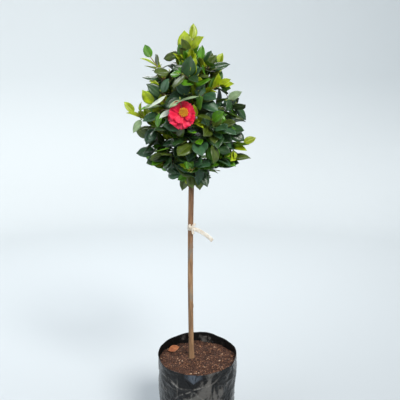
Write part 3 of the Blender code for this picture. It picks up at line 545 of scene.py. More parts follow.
def all_lines():
    """The centre line and radii of the trunk and of each bough, by name."""
    lines = {"trunk": trunk_points()}
    radii = {"trunk": [trunk_radius(point.z) for point in lines["trunk"]]}
    for limb in LIMBS:
        lines[limb.name] = limb_points(limb, lines)
        radii[limb.name] = tapered(limb.foot_radius, limb.tip_radius, LIMB_STEPS + 1)
    return lines, radii


# Growth of the crown


def crown_radius(height):
    """How far the rounded crown reaches from its axis at a height."""
    t = (height - CROWN_FOOT) / (CROWN_HEAD - CROWN_FOOT)
    if not 0.0 < t < 1.0:
        return 0.0
    return CROWN_REACH * math.sin(math.pi * t**0.75) ** 0.6


def tree_of_points(points):
    """A search tree of points."""
    tree = KDTree(len(points))
    for i, point in enumerate(points):
        tree.insert(point, i)
    tree.balance()
    return tree


def spaces(lines):
    """Each mass's space, by name: search trees of its own points and of all the others' points."""
    own = {}
    for mass in MASSES:
        root = lines[mass.limb][-1]
        own[mass.name] = [root]
        for lead in mass.leads:
            own[mass.name] += [root.lerp(Vector(lead[:3]), part) for part in SPACE_PARTS]
    found = {}
    for name, points in own.items():
        others = [point for other in own if other != name for point in own[other]]
        found[name] = (tree_of_points(points), tree_of_points(others))
    return found


def inside(points, space, margin):
    """Whether all points are nearer to the mass's own points than to another's, by the margin."""
    own, others = space
    return all(others.find(point)[2] - own.find(point)[2] > 2.0 * margin for point in points)


def above_skirt(point):
    """Whether a point is above the crown's underside, a shallow bowl."""
    away = math.hypot(point.x - CROWN_X, point.y)
    rise = SKIRT_RISE * smooth((away - SKIRT_START) / (SKIRT_END - SKIRT_START))
    return point.z > CROWN_FOOT + rise


def leaf_mesh(leaf):
    """A thin pointed leaf of eight faces, folded along its rib, with its tip bent down."""
    work = bmesh.new()
    bmesh.ops.create_uvsphere(work, u_segments=4, v_segments=2, radius=1.0)
    side = leaf.face.cross(leaf.axis)
    for vert in work.verts:
        on_rib = abs(vert.co.z) > 0.5
        t = 0.36 if on_rib else LEAF_WIDEST if abs(vert.co.y) > 0.5 else 0.5 + 0.5 * vert.co.x
        y = 0.0 if on_rib else 0.5 * leaf.width * vert.co.y
        z = 0.5 * LEAF_THICKNESS * leaf.length * vert.co.z + LEAF_FOLD * abs(y)
        z -= leaf.droop * leaf.length * t**2
        vert.co = leaf.foot + leaf.axis * t * leaf.length + side * y + leaf.face * z
    return work


def leaf_tree(leaf):
    """A search tree of the leaf, and its points."""
    work = leaf_mesh(leaf)
    tree = BVHTree.FromBMesh(work)
    points = [vert.co.copy() for vert in work.verts]
    work.free()
    return tree, points


def twig_tree(points, radii, sides=4):
    """A search tree of a rough tube round the points."""
    verts = []
    faces = []
    for i, (point, radius) in enumerate(zip(points, radii)):
        _, way = along(points, i / (len(points) - 1))
        side = way.orthogonal().normalized()
        for k in range(sides):
            verts.append(point + Matrix.Rotation(math.tau * k / sides, 3, way) @ side * radius)
            if i:
                a = sides * i + k
                b = sides * i + (k + 1) % sides
                faces.append((a - sides, b - sides, b, a))
    return BVHTree.FromPolygons(verts, faces)


class Shoot:
    """A twig's line and radii, with the leaves that it carries."""

    def __init__(self, points, radii, youth):
        self.name = ""
        self.points = points
        self.radii = radii
        self.youth = youth
        self.leaves = []


def near_limbs(points, radius, lines, radii, own):
    """Whether a twig's points come too close to the trunk or to a bough other than its own."""
    for name, line in lines.items():
        if name == own:
            continue
        for i in range(LINE_SAMPLES + 1):
            spot, _ = along(line, i / LINE_SAMPLES)
            room = radii[name][0] + radius + LIMB_MARGIN
            if any((point - spot).length < room for point in points):
                return True
    return False


def leaf_at(shoot, fraction, turn, rng, last, less=1.0):
    """A leaf on the shoot: old ones lean out and hang, young ones stand up."""
    foot, way = along(shoot.points, fraction)
    youth = shoot.youth
    out = Vector((foot.x - CROWN_X, foot.y, 0.0))
    out = out.normalized() if out.length > 0.02 else Vector((0.0, -1.0, 0.0))
    radial = Matrix.Rotation(turn, 3, way) @ across(UP if abs(way.z) < 0.9 else out, way)
    spread = (0.25 if last else 1.0) * (1.0 - 0.45 * youth)
    low = 1.0 - smooth((foot.z - CROWN_FOOT) / LOW_HEIGHT)
    hang = rng.uniform(0.1, 0.85) * (1.0 + LOW_HANG * low) * (1.0 - youth) * less - 0.25 * youth
    axis = way * (0.55 + 0.55 * youth) + radial * spread + out * 0.15 * (1.0 - youth) - UP * hang
    axis = axis.normalized()
    look = way * (0.3 + 0.5 * youth) + LIGHT + out * (0.85 - 0.65 * youth)
    face = across(look, axis)
    face = Matrix.Rotation(rng.uniform(-0.6, 0.6), 3, axis) @ face
    old = rng.uniform(*OLD_LEAF)
    young = rng.uniform(*YOUNG_LEAF)
    length = young * youth + old * (1.0 - youth)
    if last:
        length *= 0.9
    width = length * (YOUNG_LEAF_WIDTH * youth + OLD_LEAF_WIDTH * (1.0 - youth))
    width *= rng.uniform(0.92, 1.08)
    droop = rng.uniform(0.04, 0.16) * (1.0 - 0.5 * youth)
    return Leaf(foot - axis * 0.0006, axis, face, length, width, droop, youth)


class Crowd:
    """What already stands in the crown, as search trees with their middles, so that a search is fast."""

    def __init__(self):
        self.trees = []
        self.middles = np.empty((0, 3))
        self.reaches = np.empty(0)
        self.owners = []

    def add(self, tree, points, owner):
        """Takes in one more thing."""
        middle = sum(points, Vector()) / len(points)
        self.trees.append(tree)
        self.middles = np.vstack([self.middles, middle])
        self.reaches = np.append(self.reaches, max((point - middle).length for point in points))
        self.owners.append(owner)

    def hit(self, tree, points, spared=()):
        """Whether the tree crosses anything but what the spared owners have."""
        if not self.trees:
            return False
        middle = sum(points, Vector()) / len(points)
        reach = max((point - middle).length for point in points)
        near = np.linalg.norm(self.middles - np.array(middle), axis=1) < self.reaches + reach
        return any(
            self.owners[i] not in spared and tree.overlap(self.trees[i]) for i in np.nonzero(near)[0]
        )


class Among(NamedTuple):
    """What the leaves of one mass stand among: its space, its own twigs' names, and the whole crown."""

    space: tuple
    own: tuple
    limbs: Crowd
    twigs: Crowd
    leaves: Crowd


def try_leaf(leaf, among, spared):
    """Puts the leaf among the others, unless it would leave its space or cross something."""
    tree, points = leaf_tree(leaf)
    if not inside(points, among.space, -LEAF_OVERHANG) or not all(above_skirt(point) for point in points):
        return False
    if among.limbs.hit(tree, points) or among.twigs.hit(tree, points, spared):
        return False
    if among.leaves.hit(tree, points):
        return False
    among.leaves.add(tree, points, None)
    return True


def before_flower(leaf):
    """Whether a leaf stands in the flower or before it."""
    for part in (0.3, 0.6, 1.0):
        spot = leaf.foot + leaf.axis * part * leaf.length - FLOWER_PLACE
        depth = spot.dot(FLOWER_FACE)
        if depth > -0.004 and (spot - FLOWER_FACE * depth).length < 0.9 * FLOWER_RADIUS:
            return True
    return False


def add_leaves(shoot, rng, among):
    """Leaves from near the shoot's foot to its tip. One that hits something is turned, or left out.

    The later tries let a leaf pass through a twig of its own mass.
    """
    length = length_of(shoot.points)
    count = max(3, round(length * (1.0 - FIRST_LEAF) / LEAF_GAP)) + 1
    turn = rng.uniform(0.0, math.tau)
    for i in range(count):
        last = i == count - 1
        fraction = LAST_LEAF if last else FIRST_LEAF + (1.0 - FIRST_LEAF) * (i + 0.2) / count
        turn += LEAF_TURN
        for attempt in range(LEAF_TRIES):
            swing = rng.uniform(-0.3, 0.3) * attempt
            leaf = leaf_at(shoot, fraction, turn + swing, rng, last, 1.0 - attempt / LEAF_TRIES)
            if try_leaf(leaf, among, (shoot.name,) if attempt < TWIG_TRIES else among.own):
                shoot.leaves.append(leaf)
                break


def fill(shoots, rng, among):
    """More leaves at random places on the mass's shoots, where there is still room."""
    for _ in range(FILL_TRIES):
        if sum(len(shoot.leaves) for shoot in shoots) >= MASS_LEAVES:
            return
        shoot = shoots[rng.randrange(len(shoots))]
        fraction = rng.uniform(FIRST_LEAF, 0.95)
        leaf = leaf_at(shoot, fraction, rng.uniform(0.0, math.tau), rng, False, rng.random())
        if try_leaf(leaf, among, among.own):
            shoot.leaves.append(leaf)


def lead_shoot(start, way, lead, steps, first_radius):
    """A shoot that sets out one way and ends a leaf's length short of the lead's tip."""
    end = Vector(lead[:3])
    youth = lead[3]
    leaf = 0.75 * sum(YOUNG_LEAF if youth > 0.5 else OLD_LEAF) / 2
    end = end - (end - start).normalized() * min(leaf, 0.35 * (end - start).length)
    if youth < 0.5:
        end.z += 0.25 * leaf
    reach = (end - start).length
    points = bend(start, start + way * 0.4 * reach, end, steps)
    return Shoot(points, tapered(first_radius, TWIG_TIP_RADIUS, len(points)), youth)


def free_tip(rng, space, taken):
    """A tip near the crown's surface, in the mass's space, as far as can be from the tips that are taken."""
    best = None
    most = -1.0
    for _ in range(TIP_TRIES):
        height = rng.uniform(CROWN_FOOT + 0.03, CROWN_HEAD - 0.02)
        angle = rng.uniform(0.0, math.tau)
        reach = crown_radius(height) * rng.uniform(*TIP_REACH)
        tip = Vector((CROWN_X + reach * math.cos(angle), reach * math.sin(angle), height))
        if not inside([tip], space, TIP_ROOM):
            continue
        room = min((tip - other).length for other in taken)
        if room > most:
            most = room
            best = tip
    return best


def grow_shoots(mass, rng, lines, radii, space, taken):
    """The mass's shoots: its stem, the other leading shoots, and those of the seeded rule."""
    root, way = along(lines[mass.limb], 1.0)
    root = root + way * GAP
    stem = lead_shoot(root, way, mass.leads[0], STEM_STEPS, STEM_RADIUS)
    stem.points[1] = root + way * (stem.points[1] - root).length
    shoots = [stem]
    leads = list(mass.leads[1:])
    for _ in range(mass.more):
        tip = free_tip(rng, space, taken)
        if tip:
            taken.append(tip)
            leads.append((*tip, 0.9 if rng.random() < 0.2 else rng.uniform(0.0, 0.25)))
    for i, lead in enumerate(leads):
        target = Vector(lead[:3])
        spots = [(i + 1.0) / (len(leads) + 1.4), 0.12, 0.3, 0.5, 0.7]
        for spot in spots:
            start, stem_way = along(stem.points, spot)
            aim = (stem_way + 0.9 * (target - start).normalized()).normalized()
            shoot = lead_shoot(start, aim, lead, TWIG_STEPS, TWIG_RADIUS)
            clear = inside(shoot.points, space, CELL_MARGIN + TWIG_RADIUS)
            if clear and not near_limbs(shoot.points[1:], TWIG_RADIUS, lines, radii, mass.limb):
                shoots.append(shoot)
                break
    if mass.name == FLOWER_MASS:
        start, _ = along(stem.points, 0.3)
        end = FLOWER_PLACE - FLOWER_FACE * 0.002
        points = bend(start, end - FLOWER_FACE * 0.04, end, TWIG_STEPS + 1)
        shoots.append(Shoot(points, tapered(TWIG_RADIUS, TWIG_TIP_RADIUS, len(points)), 0.0))
    for i, shoot in enumerate(shoots):
        shoot.name = f"{mass.name}_{i}"
    return shoots


def grow_crown(lines, radii):
    """Each mass's shoots, by name."""
    all_spaces = spaces(lines)
    limbs = Crowd()
    for name, line in lines.items():
        wide = [radius + LIMB_MARGIN for radius in radii[name]]
        limbs.add(twig_tree(line, wide), line, name)
    before = [FLOWER_PLACE - FLOWER_FACE * 0.012, FLOWER_PLACE + FLOWER_FACE * 0.06]
    limbs.add(twig_tree(before, [1.05 * FLOWER_RADIUS] * 2, 8), before, "flower")
    limbs.reaches[-1] += FLOWER_RADIUS
    taken = [Vector(lead[:3]) for mass in MASSES for lead in mass.leads]
    found = {}
    draws = {}
    twigs = Crowd()
    for seed, mass in enumerate(MASSES):
        draws[mass.name] = random.Random(seed)
        shoots = grow_shoots(mass, draws[mass.name], lines, radii, all_spaces[mass.name], taken)
        found[mass.name] = shoots
        for shoot in shoots:
            wide = [TWIG_CLEARANCE * radius for radius in shoot.radii]
            twigs.add(twig_tree(shoot.points, wide), shoot.points, shoot.name)
    leaves = Crowd()
    among = {}
    for name, shoots in found.items():
        own = tuple(shoot.name for shoot in shoots)
        among[name] = Among(all_spaces[name], own, limbs, twigs, leaves)
        for shoot in shoots:
            add_leaves(shoot, draws[name], among[name])
    for name, shoots in found.items():
        fill(shoots, draws[name], among[name])
    for shoot in [shoot for shoots in found.values() for shoot in shoots]:
        shoot.leaves = [leaf for leaf in shoot.leaves if not before_flower(leaf)]
    for name, shoots in found.items():
        shoots += add_named_leaves(name, shoots, leaves)
        shoots += add_sprays(shoots, draws[name], among[name])
    return found


# Meshes


def closed_grid(rows, columns):
    """The faces of a closed thin shell: a top grid, the same grid below it, and the strip round their edge.

    The last value is each face's finish: 0 above and 1 below.
    """
    faces = []
    under = rows * columns
    for r in range(rows - 1):
        for c in range(columns - 1):
            a = r * columns + c
            quad = (a, a + columns, a + columns + 1, a + 1)
            faces.append(quad)
            faces.append(tuple(under + i for i in reversed(quad)))
    finishes = [0, 1] * (len(faces) // 2)
    last = columns - 1
    for r in range(rows - 1):
        a = r * columns
        b = a + columns
        faces.append((a, under + a, under + b, b))
        faces.append((a + last, b + last, under + b + last, under + a + last))
    end = (rows - 1) * columns
    for c in range(columns - 1):
        faces.append((c, c + 1, under + c + 1, under + c))
        faces.append((end + c, under + end + c, under + end + c + 1, end + c + 1))
    finishes += [1] * (len(faces) - len(finishes))
    return np.array(faces), np.array(finishes)


class Pile:
    """Points and faces of many closed shapes that become one piece."""

    def __init__(self):
        self.points = []
        self.faces = []
        self.finishes = []
        self.places = []
        self.count = 0

    def add(self, points, faces, finish=0, places=None):
        """Takes in a shape: its finish is one number or one for each face, its places each point's (u, v)."""
        points = np.asarray(points, float).reshape(-1, 3)
        self.points.append(points)
        for face in faces:
            self.faces.append([int(i) + self.count for i in face])
        marks = np.broadcast_to(finish, len(faces))
        self.finishes.append(marks)
        self.places.append(np.zeros((len(points), 2)) if places is None else places)
        self.count += len(points)

    def piece(self, name, finishes, slot, nodes, smooth=True):
        """The piece, riding on the plant's body in place of the CAD nodes."""
        mesh = bpy.data.meshes.new(name)
        mesh.from_pydata(np.concatenate(self.points).tolist(), [], self.faces)
        mesh.polygons.foreach_set("material_index", np.concatenate(self.finishes).astype(np.int32))
        mesh.polygons.foreach_set("use_smooth", np.full(len(mesh.polygons), smooth))
        corners = np.empty(len(mesh.loops), np.int32)
        mesh.loops.foreach_get("vertex_index", corners)
        layer = mesh.uv_layers.new(name="places")
        layer.uv.foreach_set("vector", np.concatenate(self.places)[corners].astype(np.float32).ravel())
        for finish in finishes:
            mesh.materials.append(finish)
        mesh.update()
        made = placed(name, mesh)
        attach(made, BODY)
        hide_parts(*nodes)
        return made


def placed(name, data, place=(0.0, 0.0, 0.0), turn=(0.0, 0.0, 0.0)):
    """A new object in the scene."""
    made = bpy.data.objects.new(name, data)
    made.location = place
    made.rotation_euler = turn
    bpy.context.scene.collection.objects.link(made)
    return made


def ring_point(radius, angle, height):
    """A point at a distance and an angle round the Z axis."""
    return radius * math.cos(angle), radius * math.sin(angle), height


def ring_faces(rings, around, first=0):
    """The faces between each ring of points and the next, one for each step round."""
    found = []
    for ring in range(rings - 1):
        for k in range(around):
            a = first + ring * around + k
            b = first + ring * around + (k + 1) % around
            found.append((a, b, b + around, a + around))
    return found


def disc_faces(rings, around):
    """The faces from point 0 to the first ring round it, and on to the other rings."""
    fan = [(0, 1 + k, 1 + (k + 1) % around) for k in range(around)]
    return fan + [(a, d, c, b) for a, b, c, d in ring_faces(rings, around, 1)]


def stretched(values, count):
    """The values stretched to a count of numbers."""
    return np.interp(np.linspace(0.0, 1.0, count), np.linspace(0.0, 1.0, len(values)), values)


def smooth_line(points, per_step):
    """A finer line through the same points, rounded at each of them."""
    ends = [points[0] * 2 - points[1], *points, points[-1] * 2 - points[-2]]
    found = []
    for i in range(1, len(ends) - 2):
        a, b, c, d = ends[i - 1 : i + 3]
        for k in range(per_step):
            t = k / per_step
            bend_2 = (a * 2 - b * 5 + c * 4 - d) * t**2
            bend_3 = (b * 3 - a - c * 3 + d) * t**3
            found.append(0.5 * (b * 2 + (c - a) * t + bend_2 + bend_3))
    found.append(points[-1])
    return found


def frames_along(points):
    """At each point the way on, and two directions square to it that don't spin."""
    found = []
    side = None
    for i, point in enumerate(points):
        way = (points[min(i + 1, len(points) - 1)] - points[max(i - 1, 0)]).normalized()
        side = across(side, way) if side else way.orthogonal().normalized()
        found.append((point, way, side, way.cross(side)))
    return found


def tube(points, radii, sides, relief=None):
    """Points, faces and (u, v) of a closed round tube. The relief gives a radius's share at (row, side)."""
    rings = []
    places = []
    run = 0.0
    for row, (point, _, side, other) in enumerate(frames_along(points)):
        run += (point - points[max(row - 1, 0)]).length
        for k in range(sides):
            turn = math.tau * k / sides
            radius = radii[row] * (1.0 + (relief(row, k) if relief else 0.0))
            rings.append(point + (side * math.cos(turn) + other * math.sin(turn)) * radius)
            places.append((k / sides, run))
    faces = ring_faces(len(points), sides)
    faces.append(tuple(reversed(range(sides))))
    faces.append(tuple(range(len(rings) - sides, len(rings))))
    return rings, faces, np.array(places)


# Finishes


class Finish:
    """A Principled material, built node by node."""

    def __init__(self, name, roughness, **sockets):
        self.material = bpy.data.materials.new(name)
        self.material.use_nodes = True
        self.nodes = self.material.node_tree.nodes
        self.shader = self.nodes["Principled BSDF"]
        self.shader.inputs["Roughness"].default_value = roughness
        for socket, value in sockets.items():
            self.shader.inputs[socket.replace("_", " ")].default_value = value

    def node(self, kind, inputs, **settings):
        """A node with its inputs set or linked."""
        made = self.nodes.new(kind)
        for key, value in settings.items():
            setattr(made, key, value)
        for key, value in inputs.items():
            self.put(value, made.inputs[key])
        return made

    def put(self, value, socket):
        """Links a socket or sets it to a number or colour."""
        if isinstance(value, bpy.types.NodeSocket):
            self.material.node_tree.links.new(value, socket)
        else:
            socket.default_value = (*value, 1.0) if socket.type == "RGBA" else value

    def where(self, stretch=(1.0, 1.0, 1.0)):
        """The place on the object, in metres, stretched."""
        place = self.node("ShaderNodeTexCoord", {}).outputs["Object"]
        return self.node("ShaderNodeMapping", {"Vector": place, "Scale": stretch}).outputs["Vector"]

    def noise(self, scale, detail=3.0, rough=0.5, stretch=(1.0, 1.0, 1.0), distortion=0.0):
        """Cloudy noise from 0 to 1 over the object."""
        inputs = {"Vector": self.where(stretch), "Scale": scale, "Detail": detail}
        inputs |= {"Roughness": rough, "Distortion": distortion}
        return self.node("ShaderNodeTexNoise", inputs).outputs["Fac"]

    def cells(self, scale, feature="F1"):
        """The distance in cells over the object."""
        inputs = {"Vector": self.where(), "Scale": scale}
        return self.node("ShaderNodeTexVoronoi", inputs, feature=feature).outputs["Distance"]

    def places(self):
        """The two numbers that each point of the piece carries."""
        found = self.node("ShaderNodeUVMap", {}, uv_map="places").outputs["UV"]
        split = self.node("ShaderNodeSeparateXYZ", {"Vector": found})
        return split.outputs["X"], split.outputs["Y"]

    def maths(self, operation, a, b=0.0):
        """One sum."""
        return self.node("ShaderNodeMath", {0: a, 1: b}, operation=operation).outputs[0]

    def times(self, a, b):
        """Two numbers multiplied."""
        return self.maths("MULTIPLY", a, b)

    def plus(self, a, b):
        """Two numbers added."""
        return self.maths("ADD", a, b)

    def between(self, value, low, high):
        """0 at or below low, 1 at or above high."""
        made = self.node("ShaderNodeMapRange", {"Value": value, "From Min": low, "From Max": high})
        made.interpolation_type = "SMOOTHSTEP"
        return made.outputs["Result"]

    def ramp(self, factor, *stops):
        """A colour for each (place, colour) stop, blended between."""
        made = self.node("ShaderNodeValToRGB", {"Fac": factor})
        elements = made.color_ramp.elements
        while len(elements) < len(stops):
            elements.new(0.5)
        for element, (place, color) in zip(elements, stops):
            element.position = place
            element.color = (*color, 1.0)
        return made.outputs["Color"]

    def mix(self, factor, a, b):
        """Colour a, turning to b with the factor."""
        made = self.node("ShaderNodeMix", {"Factor": factor}, data_type="RGBA")
        for socket, value in (("A", a), ("B", b)):
            self.put(value, next(i for i in made.inputs if i.name == socket and i.type == "RGBA"))
        return next(o for o in made.outputs if o.type == "RGBA")

    def color(self, value):
        """Sets the base colour."""
        self.put(value, self.shader.inputs["Base Color"])

    def bump(self, height, strength, distance):
        """Raises the surface by a height, on top of the bumps before."""
        inputs = {"Height": height, "Strength": strength, "Distance": distance}
        links = self.shader.inputs["Normal"].links
        if links:
            inputs["Normal"] = links[0].from_socket
        made = self.node("ShaderNodeBump", inputs)
        self.material.node_tree.links.new(made.outputs["Normal"], self.shader.inputs["Normal"])


def leaf_finish(name, color, vein, roughness, coat, veins=1.0):
    """A leathery leaf: a pale rib, sunken side veins, and blotches from leaf to leaf."""
    made = Finish(name, roughness, Coat_Weight=coat, Coat_Roughness=COAT_ROUGHNESS)
    over, on = made.places()
    from_rib = made.maths("ABSOLUTE", made.maths("SUBTRACT", over, 0.5))
    rib = made.maths("SUBTRACT", 1.0, made.between(from_rib, RIB_HALF, 3.0 * RIB_HALF))
    slant = made.maths("SUBTRACT", on, made.times(from_rib, VEIN_SLANT))
    waves = made.maths("SINE", made.times(slant, math.tau * LEAF_VEINS))
    side_veins = made.between(waves, 0.86, 1.0)
    cloud = made.noise(38.0, 2.0)
    dark = tuple(0.55 * part for part in color)
    light = tuple(min(1.0, 1.45 * part) for part in color)
    base = made.ramp(cloud, (0.3, dark), (0.52, color), (0.72, light))
    base = made.mix(made.times(side_veins, 0.22 * veins), base, vein)
    base = made.mix(made.times(rib, 0.75 * veins), base, vein)
    made.color(base)
    sunken = made.times(made.plus(side_veins, rib), -1.0)
    made.bump(sunken, 0.35, 0.0006)
    made.bump(made.noise(420.0, 2.0), 0.12, 0.0004)
    return made.material


def plain_finish(name, dark, light, roughness, scale, bump=0.2, distance=0.0005, **sockets):
    """A surface that wanders between two colours, with a fine grain."""
    made = Finish(name, roughness, **sockets)
    made.color(made.ramp(made.noise(scale, 4.0), (0.3, dark), (0.7, light)))
    made.bump(made.noise(scale * 6.0, 3.0), bump, distance)
    return made.material


# Crown pieces


def add_sprays(shoots, rng, among):
    """Short side twigs with smaller leaves, where the mass still has room. They go on from its shoots."""
    sprays = []
    for _ in range(SPRAY_TRIES):
        if sum(len(spray.leaves) for spray in sprays) >= SPRAY_LEAVES:
            break
        parent = shoots[rng.randrange(len(shoots))]
        start, way = along(parent.points, rng.uniform(0.2, 0.97))
        out = Vector((start.x - CROWN_X, start.y, 0.2 * (start.z - 1.2)))
        turn = Matrix.Rotation(rng.uniform(0.0, math.tau), 3, way)
        aim = (way * 0.7 + turn @ way.orthogonal().normalized() + out.normalized() * 0.6).normalized()
        length = rng.uniform(*SPRAY_LENGTH)
        end = start + aim * length + Vector((0.0, 0.0, 0.15 * length))
        youth = parent.youth if rng.random() < 0.7 else min(1.0, parent.youth + rng.uniform(0.2, 0.6))
        radii = [SPRAY_RADIUS, SPRAY_RADIUS, 0.8 * SPRAY_RADIUS]
        spray = Shoot([start, start.lerp(end, 0.55), end], radii, youth)
        spray.name = f"{parent.name}_spray_{len(sprays)}"
        tree = twig_tree(spray.points[1:], spray.radii[1:])
        if not inside(spray.points, among.space, -LEAF_OVERHANG) or not in_reach(end):
            continue
        if among.leaves.hit(tree, spray.points[1:]) or among.limbs.hit(tree, spray.points[1:]):
            continue
        first = rng.uniform(0.0, math.tau)
        for i in range(3):
            leaf = leaf_at(spray, (LAST_LEAF, 0.75, 0.5)[i], first + i * LEAF_TURN, rng, i == 0, rng.random())
            size = rng.uniform(*SPRAY_LEAF)
            leaf = leaf._replace(length=leaf.length * size, width=leaf.width * size)
            if in_reach(leaf.foot + leaf.axis * leaf.length) and try_leaf(leaf, among, among.own):
                spray.leaves.append(leaf)
        if spray.leaves:
            sprays.append(spray)
    return sprays


def in_reach(point):
    """Whether a point is within the rounded crown."""
    return math.hypot(point.x - CROWN_X, point.y) < crown_radius(point.z) + SPRAY_REACH


def nearest_on(shoots, spot):
    """The shoot that comes nearest to a spot, and how far along it does."""
    best = None
    for shoot in shoots:
        for i in range(LINE_SAMPLES + 1):
            place, _ = along(shoot.points, i / LINE_SAMPLES)
            away = (place - spot).length
            if best is None or away < best[0]:
                best = (away, shoot, i / LINE_SAMPLES)
    return best[1:]


def add_named_leaves(name, shoots, leaves):
    """The mass's named leaves, each on a twig of its own. A leaf that stands in one's way goes."""
    found = []
    for named in NAMED_LEAVES:
        if named.mass != name:
            continue
        foot, tip = Vector(named.foot), Vector(named.tip)
        parent, place = nearest_on(shoots, foot)
        start, way = along(parent.points, place)
        middle = start.lerp(foot, 0.5) + way * 0.12 * (foot - start).length
        twig = Shoot([start, middle, foot], [SPRAY_RADIUS * 1.2, SPRAY_RADIUS, SPRAY_RADIUS], 0.2)
        twig.name = f"{parent.name}_named_{len(found)}"
        axis = (tip - foot).normalized()
        face = across(Vector(named.look), axis)
        leaf = Leaf(foot - axis * 0.0006, axis, face, (tip - foot).length, named.width, 0.06, 0.0, named.kind)
        tree, points = leaf_tree(leaf)
        leaves.add(tree, points, None)
        twig.leaves.append(leaf)
        found.append(twig)
        for shoot in shoots:
            shoot.leaves = [other for other in shoot.leaves if not leaf_tree(other)[0].overlap(tree)]
    return found


def blade_width(u):
    """The half width along a blade, 1 at its widest: rounded at its foot, drawn out at its tip."""
    rounded, pointed = 0.6, 0.83
    widest = rounded / (rounded + pointed)
    peak = widest**rounded * (1.0 - widest) ** pointed
    width = np.clip(u, 0.0, 1.0) ** rounded * np.clip(1.0 - u, 0.0, 1.0) ** pointed / peak
    return width * (1.0 - 0.32 * np.exp(-(((u - 0.93) / 0.07) ** 2)))


def detailed_leaves(leaves, seed):
    """The points of every leaf, as (leaf, above or below, row, column, xyz), and their (u, v)."""
    draw = np.random.default_rng(seed)
    many = len(leaves)
    t = np.array(LEAF_ROWS)[None, :, None]
    s = np.linspace(-1.0, 1.0, LEAF_COLUMNS)[None, None, :]

    def each(part):
        return np.array([getattr(leaf, part) for leaf in leaves], float).reshape(many, 1, 1, -1)

    def drawn(low, high):
        return draw.uniform(low, high, (many, 1, 1))

    length, width, droop, youth = [each(part)[..., 0] for part in ("length", "width", "droop", "youth")]
    blade = (t - PETIOLE_END) / (1.0 - PETIOLE_END)
    tooth = 1.0 + LEAF_TOOTH * (np.arange(len(LEAF_ROWS)) % 2)[None, :, None] * np.abs(s)
    half = 0.5 * width * blade_width(blade) * drawn(0.97, 1.05)
    stalk = np.clip(1.0 - blade / 0.04, 0.0, 1.0)
    y = s * np.maximum(half, PETIOLE_RADIUS * (1.0 - 0.75 * t**4)) * tooth
    fold = (drawn(0.16, 0.42) + 0.25 * youth) * np.abs(y)
    rolled = drawn(0.10, 0.42) * (1.0 - 0.7 * youth) * half * s**4
    quilt = LEAF_QUILT * np.sin(math.tau * (LEAF_VEINS * t - 1.1 * np.abs(s)))
    quilt = quilt * 4.0 * np.abs(s) * (1.0 - np.abs(s))
    wave = drawn(0.0, 0.022) * length * s**2 * np.sin(math.tau * (drawn(1.1, 2.0) * t + drawn(0.0, 1.0)))
    tip = drawn(-0.02, 0.075) * length * np.clip((t - 0.72) / 0.28, 0.0, 1.0) ** 2
    z = fold - rolled + (quilt + wave * np.sin(math.pi * t)) * (1.0 - stalk)
    z = z - droop * length * t**2 - tip
    turn = drawn(-0.35, 0.35) * (t - 0.25)
    y, z = y * np.cos(turn) - z * np.sin(turn) * 0.6, z * np.cos(turn) + y * np.sin(turn)
    x = length * t * np.ones_like(y)
    round_stalk = stalk * PETIOLE_RADIUS * np.sqrt(np.clip(1.0 - s**2, 0.0, 1.0))
    rib = RIB_DEPTH * np.exp(-((y / RIB_WIDTH) ** 2)) * (1.0 - t)
    above = z + round_stalk
    below = z - round_stalk - LEAF_FILM - rib * (1.0 - stalk)
    foot, axis, face = [each(part) for part in ("foot", "axis", "face")]
    side = np.cross(face, axis)
    flat = foot + axis * x[..., None] + side * y[..., None]
    points = np.stack([flat + face * above[..., None], flat + face * below[..., None]], axis=1)
    u = np.broadcast_to(0.5 + 0.5 * s, x.shape)
    v = np.broadcast_to(t, x.shape)
    places = np.stack([u, v], axis=-1)[:, None].repeat(2, axis=1)
    return points, places


def make_leaves(name, leaves, finishes, slot, nodes, seed):
    """All leaves of one colour as one piece."""
    points, places = detailed_leaves(leaves, seed)
    faces, marks = closed_grid(len(LEAF_ROWS), LEAF_COLUMNS)
    pile = Pile()
    for i in range(len(leaves)):
        pile.add(points[i], faces, marks, places[i].reshape(-1, 2))
    return pile.piece(name, finishes, slot, nodes)


def leaf_kind(leaf, rng):
    """Which colour a leaf has: its own if named, lime or bright if young, and one of OLD_KINDS if not."""
    if leaf.kind:
        return leaf.kind
    if leaf.foot.z > LEADER_HEIGHT:
        return rng.choice(("lime", "olive", "lime", "bright"))
    if leaf.youth > 0.65:
        low = leaf.foot.z < LIME_HEIGHT and abs(leaf.foot.x - CROWN_X) < LIME_REACH
        return "lime" if rng.random() < (LOW_LIME if low else HIGH_LIME) else "bright"
    if leaf.youth > 0.35:
        return "bright" if rng.random() < HALF_YOUNG_BRIGHT else "lime"
    return rng.choices(list(OLD_KINDS), list(OLD_KINDS.values()))[0]


def make_twigs(crown, finishes, nodes):
    """Every shoot as a round twig with small swellings along it, and a pointed bud at its end."""
    woody, green = Pile(), Pile()
    for shoot in crown:
        line = smooth_line(shoot.points, 4 if len(shoot.points) > 2 else 2)
        radii = stretched(shoot.radii, len(line))
        swell = 1.0 + 0.12 * np.sin(np.arange(len(line)) * 2.4)
        points, faces, places = tube(line, radii * swell, TWIG_SIDES)
        pile = green if shoot.youth > 0.5 else woody
        pile.add(points, faces, 0, places)
        way = (line[-1] - line[-2]).normalized()
        bud = [line[-1] + way * BUD_LENGTH * t for t in (-0.15, 0.05, 0.25, 0.5, 0.75, 0.92, 1.0)]
        fat = [BUD_RADIUS * part for part in (0.5, 0.8, 1.0, 0.9, 0.6, 0.25, 0.05)]
        points, faces, places = tube(bud, fat, TWIG_SIDES)
        green.add(points, faces, 1, places)
    made = [woody.piece("twigs_woody", finishes[:2], "bark", nodes)]
    made.append(green.piece("twigs_green", finishes[1:], "young_leaf", nodes))
    return made


# Flower


